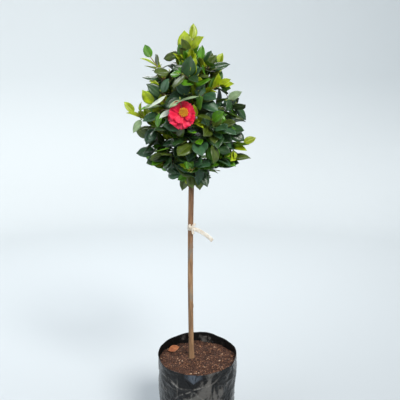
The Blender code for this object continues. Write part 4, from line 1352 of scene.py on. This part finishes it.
def petal_points(reach, width, cup, back, ruffle, phase, draw):
    """A broad petal, notched at its tip and ruffled at its edge, lying along +X and facing +Z."""
    rows, columns = 22, 17
    t = np.linspace(0.0, 1.0, rows)[:, None]
    s = np.linspace(-1.0, 1.0, columns)[None, :]
    rounding = np.clip((t - 0.62) / 0.40, 0.0, 1.0) ** 2.4
    outline = np.clip(t, 0.02, 1.0) ** 0.55 * np.sqrt(np.clip(1.0 - rounding, 0.0, 1.0))
    y = s * width * np.maximum(outline, 0.16)
    bow = 1.0 - 0.10 * s**2 * t - 0.11 * np.exp(-((s / 0.20) ** 2)) * t**6
    x = reach * t * bow
    z = cup * reach * np.sin(math.pi * 0.5 * t) * t + 0.30 * cup * np.abs(y) * (1.0 - 0.6 * t)
    z = z - back * reach * np.clip((t - 0.55) / 0.45, 0.0, 1.0) ** 2
    edge = np.clip(t, 0.0, 1.0) ** 2 * (0.35 + 0.65 * np.abs(s) ** 1.5)
    z = z + ruffle * edge * np.sin(math.tau * (1.35 * s + phase) + 2.0 * t)
    z = z + 0.45 * ruffle * edge * np.sin(math.tau * (3.1 * s - 1.7 * phase) + draw.uniform(0.0, 6.0))
    film = 0.0006 * (1.0 - 0.5 * t) * np.ones_like(y)
    above = np.stack([x * np.ones_like(y), y * np.ones_like(x), z], axis=-1)
    below = above - np.stack([np.zeros_like(z), np.zeros_like(z), film], axis=-1)
    places = np.stack([0.5 + 0.5 * s * np.ones_like(t), t * np.ones_like(s)], axis=-1)
    return np.stack([above, below]), np.concatenate([places.reshape(-1, 2)] * 2), closed_grid(rows, columns)


PETALS = (  # degrees round from straight right, reach, width, cup, lean back, ruffle
    (-100.0, 1.14, 0.66, 0.10, 0.20, 0.0042),
    (-50.0, 1.06, 0.66, 0.18, 0.14, 0.0040),
    (-150.0, 1.16, 0.62, 0.14, 0.10, 0.0046),
    (-5.0, 0.96, 0.60, 0.30, 0.02, 0.0040),
    (178.0, 1.02, 0.60, 0.34, -0.06, 0.0046),
    (42.0, 0.92, 0.62, 0.38, -0.06, 0.0044),
    (88.0, 0.96, 0.58, 0.36, 0.02, 0.0044),
    (128.0, 1.02, 0.50, 0.37, -0.08, 0.0046),
    (-122.0, 0.78, 0.46, 0.30, 0.10, 0.0042),
    (-20.0, 0.70, 0.42, 0.44, 0.02, 0.0040),
)


def make_flower(finishes, stamen_finishes, nodes):
    """The open bloom: ruffled petals that overlap, round a boss of golden stamens."""
    draw = np.random.default_rng(5)
    facing = np.array(FLOWER_FACE.to_track_quat("Z", "Y").to_matrix())
    middle = np.array(FLOWER_PLACE)
    pile = Pile()
    for i, (angle, reach, width, cup, back, ruffle) in enumerate(PETALS):
        shape, places, (faces, marks) = petal_points(
            reach * FLOWER_RADIUS, width * FLOWER_RADIUS, cup, back, ruffle, draw.uniform(), draw
        )
        shape[..., 2] += 0.0012 * (i % 3) + 0.0005 * i
        cosine, sine = math.cos(math.radians(angle)), math.sin(math.radians(angle))
        spin = np.array([[cosine, -sine, 0.0], [sine, cosine, 0.0], [0.0, 0.0, 1.0]])
        tilt = shape.reshape(-1, 3) @ spin.T
        pile.add(tilt @ facing.T + middle, faces, marks, places)
    petals = pile.piece("bloom_petals", finishes, "petal", nodes)
    pile = Pile()
    for i in range(STAMENS):
        ring = math.sqrt((i + 0.5) / STAMENS)
        turn = i * math.radians(GOLDEN_ANGLE)
        lean = 0.42 * ring + draw.uniform(-0.05, 0.05)
        out = Vector((math.cos(turn), math.sin(turn), 0.0))
        length = draw.uniform(*STAMEN_LENGTH) * (1.0 - 0.12 * ring)
        foot = out * STAMEN_RING * ring * 0.75 + 0.6 * BOSS
        tip = foot + 0.4 * BOSS + (out * lean + UP).normalized() * length
        line = bend(foot, foot.lerp(tip, 0.5) + out * 0.0012, tip, 3)
        points, faces, places = tube(line, [STAMEN_RADIUS * 1.3] + [STAMEN_RADIUS] * 3, 5)
        pile.add(np.array(points) @ facing.T + middle, faces, 0, places)
        head = [tip + UP * ANTHER_RADIUS * k for k in (-1.3, -0.8, 0.0, 0.8, 1.3)]
        fat = [ANTHER_RADIUS * k for k in (0.3, 0.85, 1.0, 0.8, 0.25)]
        points, faces, places = tube(head, fat, 6)
        pile.add(np.array(points) @ facing.T + middle, faces, 1, places)
    stamens = pile.piece("bloom_stamens", stamen_finishes, "stamen", nodes)
    return petals, stamens


# Trunk and boughs


def bark_relief(line, sides, seed):
    """Long ridges, cross wrinkles and knots, as a share of the radius at each row and side."""

    def relief(row, k):
        turn = math.tau * k / sides
        spot = Vector((math.cos(turn) * 2.2, math.sin(turn) * 2.2, line[row].z * 26.0 + seed))
        ridges = noise.ridged_multi_fractal(spot, 0.9, 2.1, 3, 0.9, 2.0) - 1.0
        wander = noise.noise(Vector((math.cos(turn), math.sin(turn), line[row].z * 9.0 + 7.0 * seed)))
        fine = noise.noise(Vector((math.cos(turn) * 5.0, math.sin(turn) * 5.0, line[row].z * 240.0 + seed)))
        swell = 0.0
        for height, degrees in KNOTS if seed == 0 else ():
            apart = math.cos(turn - math.radians(degrees))
            swell += 0.16 * math.exp(-(((line[row].z - height) / 0.006) ** 2)) * max(0.0, apart) ** 3
        return BARK_RELIEF * (0.55 * ridges + 0.9 * wander + 0.25 * fine) + swell

    return relief


def make_bark(lines, radii, finish):
    """Trunk and boughs in one piece, each bough's foot sunk in its parent."""
    pile = Pile()
    for seed, name in enumerate(lines):
        steps = BARK_STEPS_PER_POINT if name == "trunk" else 6
        sides = BARK_SIDES if name == "trunk" else BARK_SIDES // 2
        line = smooth_line(lines[name], steps)
        widths = stretched(radii[name], len(line))
        points, faces, places = tube(line, widths, sides, bark_relief(line, sides, seed))
        pile.add(points, faces, 0, places)
    return pile.piece("bark", [finish], "bark", list(lines))


# Planter bag


def smooth(t):
    """An even step from 0 to 1."""
    t = min(max(t, 0.0), 1.0)
    return t * t * (3.0 - 2.0 * t)


def bag_cone(height):
    """The bag's mean outer radius."""
    widening = math.sin(0.5 * math.pi * height / BAG_RIM)
    return BAG_FOOT_RADIUS + (BAG_TOP_RADIUS - BAG_FOOT_RADIUS) * widening


def bag_radius(angle, height):
    """The same with the broad folds."""
    t = height / BAG_RIM
    folds = math.sin(3.0 * angle + 9.0 * t) + 0.7 * math.sin(7.0 * angle - 14.0 * t + 1.0)
    return bag_cone(height) + BAG_CREASE * folds * smooth(height / (3.0 * BAG_EDGE))


def rim_height(angle):
    """The rim stands up at the back and lies level with the potting mix in front."""
    wave = math.sin(5.0 * angle + 0.6) + 0.6 * math.sin(11.0 * angle)
    return BAG_RIM + BAG_RIM_SWAY * math.sin(angle) + BAG_RIM_WAVE * wave * (0.6 + 0.4 * math.sin(angle))


class Crease(NamedTuple):
    """A sharp fold on the film's unrolled side: its start, the way it runs, its length, width and height."""

    start: tuple
    way: tuple
    length: float
    width: float
    height: float


def make_creases():
    """Folds that run out from the puckers, and stray ones all round."""
    rng = random.Random(11)
    found = []
    puckers = list(PUCKERS)
    for i in range(PUCKERS_ROUND):
        angle = math.tau * (i + 1) / (PUCKERS_ROUND + 1) + rng.uniform(-0.2, 0.2)
        puckers.append((BAG_TOP_RADIUS * angle, rng.uniform(0.06, 0.28), 6))
    for start, end, width, height in FOLDS:
        way = Vector(end) - Vector(start)
        found.append(Crease(start, tuple(way.normalized()), way.length, width, height))
    for across_way, height, count in puckers:
        for i in range(count):
            turn = math.pi * (0.12 + 0.80 * (i + rng.uniform(0.2, 0.8)) / count)
            turn = turn * (1 if rng.random() < 0.75 else -1)
            way = (math.cos(turn), math.sin(turn))
            found.append(Crease((across_way, height), way, *[rng.uniform(*sizes) for sizes in PUCKER_SIZES]))
    for _ in range(STRAY_CREASES):
        start = (rng.uniform(-0.5, 0.5) * math.tau * BAG_TOP_RADIUS, rng.uniform(0.02, 0.32))
        turn = rng.gauss(math.pi / 2, 0.7)
        way = (math.cos(turn), math.sin(turn))
        found.append(Crease(start, way, *[rng.uniform(*sizes) for sizes in STRAY_SIZES]))
    return found


def crease_height(creases, arc, height):
    """What all creases add at places on the unrolled side (arrays)."""
    found = np.zeros_like(arc)
    round_bag = math.tau * BAG_TOP_RADIUS
    for crease in creases:
        dx = (arc - crease.start[0] + 0.5 * round_bag) % round_bag - 0.5 * round_bag
        dz = height - crease.start[1]
        on = dx * crease.way[0] + dz * crease.way[1]
        off = -dx * crease.way[1] + dz * crease.way[0]
        off = off + 0.12 * on * np.sin(on / crease.length * 4.0)
        ends = np.clip((on + 0.006) / 0.008, 0.0, 1.0)
        ends = ends * np.clip((crease.length - on) / (0.6 * crease.length), 0.0, 1.0)
        found += crease.height * ends * np.clip(1.0 - np.abs(off) / crease.width, 0.0, 1.0) ** 1.4
    return found


def film_noise(angles, heights, scale, seed):
    """Crumpled facets, as an array over the unrolled side."""
    found = np.empty((len(heights), len(angles)))
    for i, height in enumerate(heights):
        for k, angle in enumerate(angles):
            level = height * 1.6 * scale / BAG_TOP_RADIUS + seed
            spot = Vector(ring_point(scale, angle, level))
            found[i, k] = noise.ridged_multi_fractal(spot, 1.0, 2.0, 3, 0.95, 1.8) - 1.1
    return found


def make_bag(finishes):
    """The film: underside, crumpled side, uneven rim, and the inner wall down to below the potting mix."""
    angles = np.linspace(-math.pi, math.pi, BAG_COLUMNS, endpoint=False)
    t = np.linspace(0.0, 1.0, BAG_SIDE_ROWS)
    heights = BAG_EDGE + (BAG_RIM - BAG_EDGE) * t
    creases = make_creases()
    arc = (angles[None, :] + 0.5 * math.pi + math.pi) % math.tau - math.pi
    arc = np.broadcast_to(arc * BAG_TOP_RADIUS, (len(heights), len(angles)))
    level = np.broadcast_to(heights[:, None], arc.shape)
    # A painted highlight along the sharp front folds, carried as each point's first place number.
    fold_highlight = np.clip(crease_height(creases[: len(FOLDS)], arc, level) / FOLD_HIGHLIGHT_HEIGHT, 0.0, 1.0)
    # A soft bluish painted reflection under the front rim, carried as each point's second place number.
    corner = 0.030 * np.clip((level - RIM_REFLECTION_PLACE[1]) / 0.022, 0.01, 1.0)
    rim_reflection = np.clip(1.25 - np.abs(arc - RIM_REFLECTION_PLACE[0]) / corner, 0.0, 1.0) * (level > RIM_REFLECTION_PLACE[1])
    relief = crease_height(creases, arc, level) + 0.0018 * film_noise(angles, heights, 3.6, 3.0)
    relief = relief * np.clip((level - BAG_EDGE) / 0.03, 0.15, 1.0)
    rows = []
    for radius, height in BAG_FOOT_ROWS:
        rows.append([ring_point(radius * BAG_FOOT_RADIUS, angle, height) for angle in angles])
    for i, height in enumerate(heights):
        row = []
        for k, angle in enumerate(angles):
            radius = bag_radius(angle, height) + relief[i, k]
            top = rim_height(angle)
            share = t[i] ** 2
            level_here = height * (1.0 - share) + height * top / BAG_RIM * share
            row.append(ring_point(radius, angle, level_here))
        rows.append(row)
    outer = len(rows)
    lip = rows[-1]
    for drop, inset in BAG_INNER_ROWS:
        less = 1.0 - inset * BAG_WALL / BAG_TOP_RADIUS
        rows.append([(x * less, y * less, z - drop) for x, y, z in lip])
    many = BAG_COLUMNS
    faces = ring_faces(len(rows), many)
    marks = [0 if i < (outer + 1) * many else 1 for i in range(len(faces))]
    faces.append(tuple(reversed(range(many))))
    marks.append(0)
    places = np.zeros((len(rows), many, 2))
    places[outer - BAG_SIDE_ROWS : outer] = np.stack([fold_highlight, rim_reflection], axis=-1)
    pile = Pile()
    pile.add(np.array(rows).reshape(-1, 3), faces, marks, places.reshape(-1, 2))
    return pile.piece("bag_film", finishes, "film", ["nursery_bag"])


# Potting mix


def soil_height(x, y):
    """The part's own rough top, with finer lumps, level round the trunk's foot."""
    away = math.hypot(x - TRUNK_FOOT.x, y - TRUNK_FOOT.y)
    bumps = math.sin(61.0 * x + 2.0) * math.cos(47.0 * y) + 0.7 * math.sin(95.0 * y + 40.0 * x)
    lumps = SOIL_LUMP * noise.turbulence(Vector((x * 55.0, y * 55.0, 0.0)), 4, False)
    lumps = lumps * smooth((away - 0.010) / 0.02)
    return SOIL_LEVEL + SOIL_BUMP * 0.6 * bumps * smooth((away - SOIL_PAD) / 0.03) + lumps


def soil_edge(angle):
    """How far out the potting mix reaches."""
    return bag_radius(angle, SOIL_LEVEL) - 0.0030


def make_soil(finishes, nodes):
    """The rough top of the mix, and thousands of bark chips on it."""
    rng = random.Random(23)
    rings, around = 70, 260
    pile = Pile()
    points = [(0.0, 0.0, soil_height(0.0, 0.0))]
    for i in range(1, rings + 1):
        for k in range(around):
            angle = math.tau * k / around
            radius = soil_edge(angle) * i / rings
            x, y, _ = ring_point(radius, angle, 0.0)
            low = 0.0012 * smooth(i / rings * 6.0 - 5.0)
            points.append((x, y, soil_height(x, y) - low))
    low_ring = len(points)
    for k in range(around):
        angle = math.tau * k / around
        points.append(ring_point(soil_edge(angle), angle, SOIL_LEVEL - SOIL_DEPTH))
    faces = disc_faces(rings + 1, around)
    faces.append(tuple(reversed(range(low_ring, low_ring + around))))
    pile.add(points, faces, 0)
    box = [(x, y, z) for x in (-1, 1) for y in (-1, 1) for z in (-1, 1)]
    box_faces = ((0, 1, 3, 2), (4, 6, 7, 5), (0, 4, 5, 1), (2, 3, 7, 6), (0, 2, 6, 4), (1, 5, 7, 3))
    for _ in range(CHIPS):
        angle = rng.uniform(0.0, math.tau)
        size = CHIP_SIZE[0] + (CHIP_SIZE[1] - CHIP_SIZE[0]) * rng.random() ** 2.2
        radius = (soil_edge(angle) - 0.6 * size) * math.sqrt(rng.random())
        x, y, _ = ring_point(radius, angle, 0.0)
        if math.hypot(x - TRUNK_FOOT.x, y - TRUNK_FOOT.y) < TRUNK_RADIUS + TRUNK_FLARE + 0.5 * size:
            continue
        turn = Matrix.Rotation(rng.uniform(0.0, math.tau), 3, "Z")
        turn = turn @ Matrix.Rotation(rng.gauss(0.0, 0.35), 3, "X")
        turn = turn @ Matrix.Rotation(rng.gauss(0.0, 0.3), 3, "Y")
        half = Vector((0.5 * size, rng.uniform(0.22, 0.42) * size, rng.uniform(0.10, 0.22) * size))
        middle = Vector((x, y, soil_height(x, y) + 0.35 * half.z))
        corners = []
        for corner in box:
            rough = [rng.uniform(0.55, 1.0) for _ in range(3)]
            corners.append(middle + turn @ Vector([c * h * r for c, h, r in zip(corner, half, rough)]))
        pile.add(corners, box_faces, rng.choices((1, 2, 3, 4), CHIP_SHARES)[0])
    return pile.piece("bark_mix", finishes, "compost", nodes, smooth=False)


# Label


def make_label(finish):
    """A blank strip looped round the trunk, its tail hanging to the right, its knot's ears folded out."""
    height = LABEL_HEIGHT
    t = (height - TRUNK_FOOT.z) / (TRUNK_TOP.z - TRUNK_FOOT.z)
    middle, _ = along(trunk_points(), t ** (1 / 1.5))
    radius = trunk_radius(height) + LABEL_CLEARANCE
    line = []
    for i in range(31):
        angle = LABEL_START + (LABEL_END - LABEL_START) * i / 30
        line.append(Vector((middle.x + radius * math.cos(angle), radius * math.sin(angle), height)))
    leave = Vector((-math.sin(LABEL_END), math.cos(LABEL_END), 0.0))
    last = line[-1]
    for i in range(1, 37):
        t = i / 36
        fall = Vector((0.0, -0.012 * t**2, -LABEL_DROP * t**1.7))
        line.append(last + leave * LABEL_TAIL * t * (1.0 - 0.08 * t) + fall)
    pile = Pile()
    pile.add(*ribbon(line, LABEL_WIDTH, 0.0016))
    knot = Vector((middle.x + 0.002, -radius - 0.0022, height + 0.001))
    for lean, size in LABEL_EARS:
        tip = knot + Vector((size * math.cos(lean), -0.006, size * math.sin(lean)))
        line = bend(knot, knot.lerp(tip, 0.5) + Vector((0.0, -0.005, 0.002)), tip, 10)
        pile.add(*ribbon(line, 0.6 * LABEL_WIDTH, 0.001))
    return pile.piece("label_strip", [finish], "label", ["plant_label"])


def ribbon(line, width, sway):
    """Points and faces of a thin upright strip along a line, gently waved."""
    rows, columns = len(line), 7
    above, below = [], []
    for i, (point, way, _, _) in enumerate(frames_along(line)):
        flat = Vector((-way.y, way.x, 0.0)).normalized()
        up = flat.cross(way).normalized() * (-1.0 if flat.cross(way).z < 0.0 else 1.0)
        for k in range(columns):
            s = 2.0 * k / (columns - 1) - 1.0
            bow = 0.6 * s * s * math.sin(0.35 * i) + 0.25 * math.sin(0.9 * i + 2.0 * s)
            bow = sway * bow * min(1.0, i / 30.0)
            spot = point + up * (0.5 * width * s) + flat * bow
            above.append(spot + flat * 0.0002)
            below.append(spot - flat * 0.0002)
    faces, _ = closed_grid(rows, columns)
    return above + below, faces


# Fallen leaf


def make_dry_leaf(finishes):
    """A dry brown leaf that lies curled on the mix behind the trunk."""
    foot = Vector((-0.112, 0.045, SOIL_LEVEL + 0.006))
    axis = Vector((0.95, 0.20, 0.22)).normalized()
    leaf = Leaf(foot, axis, across(Vector((0.25, -0.75, 0.75)), axis), 0.045, 0.024, -0.24, 1.6)
    return make_leaves("fallen_leaf", [leaf], finishes, "compost", ["potting_soil"], 91)


# Room


def make_room():
    """A pale floor that rises far away into a round wall, all round the plant."""
    profile = [(0.0, 0.0), (1.5, 0.0), (ROOM_RADIUS, 0.0)]
    for i in range(1, ROOM_STEPS + 1):
        turn = 0.5 * math.pi * i / ROOM_STEPS
        profile.append((ROOM_RADIUS + ROOM_BEND * math.sin(turn), ROOM_BEND * (1.0 - math.cos(turn))))
    profile.append((ROOM_RADIUS + ROOM_BEND, ROOM_HEIGHT))
    around = 96
    points = [(0.0, 0.0, FLOOR)]
    for radius, height in profile[1:]:
        for k in range(around):
            turn = math.tau * k / around
            points.append(ring_point(radius, turn, height + FLOOR))
    faces = disc_faces(len(profile) - 1, around)
    mesh = bpy.data.meshes.new("room")
    mesh.from_pydata(points, [], faces)
    mesh.polygons.foreach_set("use_smooth", [True] * len(faces))
    paint = Finish("room_paint", 0.9)
    paint.color(ROOM_COLOR)
    mesh.materials.append(paint.material)
    room = placed("room", mesh)


def make_light(name, place, size, energy, color):
    """A soft square lamp that looks at the plant's middle."""
    lamp = bpy.data.lights.new(name, "AREA")
    lamp.size = size
    lamp.energy = energy
    lamp.color = color
    placed(name, lamp, place, (LIT_POINT - Vector(place)).to_track_quat("-Z", "Y").to_euler())


def make_view():
    """The camera, the sky's light and the lamps."""
    scene = bpy.context.scene
    scene.view_settings.view_transform = "Standard"
    world = bpy.data.worlds.new("sky")
    world.use_nodes = True
    sky = world.node_tree.nodes["Background"].inputs
    sky["Color"].default_value = (*SKY_COLOR, 1.0)
    sky["Strength"].default_value = SKY_STRENGTH
    scene.world = world
    for name, place, size, energy, color in LAMPS:
        make_light(name, place, size, energy, color)
    sun = bpy.data.lights.new("key", "SUN")
    sun.angle = SUN_SPREAD
    sun.energy = SUN_STRENGTH
    sun.color = SUN_COLOR
    placed("key", sun, turn=SUN_FROM.to_track_quat("Z", "Y").to_euler())
    camera = bpy.data.cameras.new("camera")
    camera.lens = CAMERA_LENS
    scene.camera = placed("camera", camera, CAMERA_PLACE, (CAMERA_TILT, 0.0, 0.0))


# What each piece is made of


def bark_finish():
    """Tan bark with long pale and dark streaks, redder and darker towards the crown."""
    made = Finish("bark", 0.78)
    streaks = made.noise(95.0, 4.0, 0.6, stretch=(1.0, 1.0, 0.10), distortion=0.4)
    low = made.ramp(streaks, *LOW_BARK)
    high = made.ramp(streaks, *HIGH_BARK)
    height = made.node("ShaderNodeSeparateXYZ", {"Vector": made.where()}).outputs["Z"]
    rise = made.between(height, 0.55, 0.98)
    base = made.mix(rise, low, high)
    grey = made.noise(30.0, 3.0, stretch=(1.0, 1.0, 0.35))
    base = made.mix(made.between(grey, 0.55, 0.75), base, (0.20, 0.17, 0.135))
    made.color(base)
    made.bump(streaks, 0.5, 0.0012)
    made.bump(made.noise(480.0, 3.0, stretch=(1.0, 1.0, 0.3)), 0.35, 0.0006)
    return made.material


def twig_finish(name, dark, mid, light):
    """A thin twig's bark."""
    made = Finish(name, 0.6)
    made.color(made.ramp(made.noise(120.0, 3.0), (0.3, dark), (0.5, mid), (0.72, light)))
    made.bump(made.noise(500.0, 2.0), 0.3, 0.0004)
    return made.material


def film_finish(name, color, painted_sheen, rough):
    """Black polythene with fine wrinkles, a broken grey painted sheen that stands in for reflections and
    grows to the right, painted highlights along the front folds, and a bluish painted reflection under the
    front rim.
    """
    made = Finish(name, rough, IOR=1.5, Specular_IOR_Level=0.32)
    # The streaks, the lean to the right and the ramp below paint the sheen: a painted reflection, not a
    # stain.
    streaks = made.noise(11.0, 4.0, 0.55, stretch=(1.0, 1.0, 0.62), distortion=1.3)
    fine = made.noise(60.0, 3.0, 0.6, stretch=(1.0, 1.0, 0.4), distortion=0.8)
    tone = made.plus(made.times(streaks, 0.78), made.times(fine, 0.22))
    right = made.node("ShaderNodeSeparateXYZ", {"Vector": made.where()}).outputs["X"]
    tone = made.plus(tone, made.times(right, PAINTED_SHEEN_LEAN))
    half = tuple(0.5 * a + 0.2 * b for a, b in zip(color, painted_sheen))
    bright = tuple(1.35 * part for part in painted_sheen)
    base = made.ramp(tone, (0.475, color), (0.51, half), (0.56, painted_sheen), (0.72, bright))
    # Painted highlights along the front folds and a bluish painted reflection under the front rim, each
    # broken up by fine noise.
    on_fold_highlight, on_rim_reflection = made.places()
    folds = made.times(made.times(on_fold_highlight, made.between(fine, 0.34, 0.56)), 0.9)
    rim_reflection = made.times(made.times(on_rim_reflection, made.between(fine, 0.28, 0.6)), 0.75)
    made.color(made.mix(rim_reflection, made.mix(folds, base, FOLD_HIGHLIGHT_COLOR), RIM_REFLECTION_COLOR))
    made.bump(made.noise(38.0, 4.0, 0.55, stretch=(1.0, 1.0, 0.55), distortion=1.0), 0.55, 0.0040)
    made.bump(made.cells(75.0, "DISTANCE_TO_EDGE"), 0.25, 0.0022)
    return made.material


def label_finish():
    """Cream plastic, specked with soil."""
    made = Finish("label_plastic", 0.5)
    base = made.ramp(made.noise(60.0, 3.0), (0.35, (0.72, 0.62, 0.50)), (0.65, (0.86, 0.80, 0.70)))
    specks = made.between(made.cells(330.0), 0.22, 0.10)
    made.color(made.mix(made.times(specks, 0.8), base, (0.20, 0.12, 0.06)))
    made.bump(made.noise(200.0, 2.0), 0.15, 0.0004)
    return made.material


def petal_finish(name, deep, mid, light):
    """A satin petal, paler where it spreads, with fine veins that run outwards."""
    made = Finish(name, 0.5, Specular_IOR_Level=0.3)
    over, on = made.places()
    cloud = made.noise(55.0, 3.0)
    veins = made.maths("SINE", made.times(over, math.tau * PETAL_VEINS))
    tone = made.plus(made.times(cloud, 0.65), made.times(on, 0.35))
    base = made.ramp(tone, (0.28, deep), (0.52, mid), (0.78, light))
    made.color(base)
    made.bump(made.times(veins, 0.5), 0.25, 0.0004)
    return made.material


# Assembly


def main():
    """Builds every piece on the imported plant."""
    lines, radii = all_lines()
    make_view()
    make_room()
    bark = bark_finish()
    make_bark(lines, radii, bark)
    make_bag([film_finish(name, *look) for name, look in FILM_LOOKS.items()])
    make_soil([plain_finish(name, *look) for name, look in SOIL_LOOKS.items()], ["potting_soil"])
    make_dry_leaf([plain_finish("dry_leaf", *DRY_LEAF_LOOK)] * 2)
    make_label(label_finish())
    nodes = [mass.name for mass in MASSES]
    crown = grow_crown(lines, radii)
    shoots = [shoot for found in crown.values() for shoot in found]
    rng = random.Random(77)
    groups = {kind: [] for kind in LEAF_FINISHES}
    for shoot in shoots:
        for leaf in shoot.leaves:
            groups[leaf_kind(leaf, rng)].append(leaf)
    for seed, (kind, leaves) in enumerate(groups.items()):
        look = LEAF_FINISHES[kind]
        above = leaf_finish(f"leaf_{kind}", look.above, look.veins, look.roughness, look.gloss)
        below = leaf_finish(f"leaf_{kind}_under", look.below, look.veins_below, 0.55, 0.0, 0.6)
        slot = "young_leaf" if kind in ("lime", "bright") else "foliage"
        make_leaves(f"leaves_{kind}", leaves, [above, below], slot, nodes, seed)
    woody, bud, green = [twig_finish(name, *tones) for name, tones in TWIG_LOOKS.items()]
    make_twigs(shoots, [woody, green, bud], nodes)
    petals = [petal_finish(name, *tones) for name, tones in PETAL_LOOKS.items()]
    stamens = [plain_finish(name, *look) for name, look in STAMEN_LOOKS.items()]
    make_flower(petals, stamens, [FLOWER_MASS])


main()
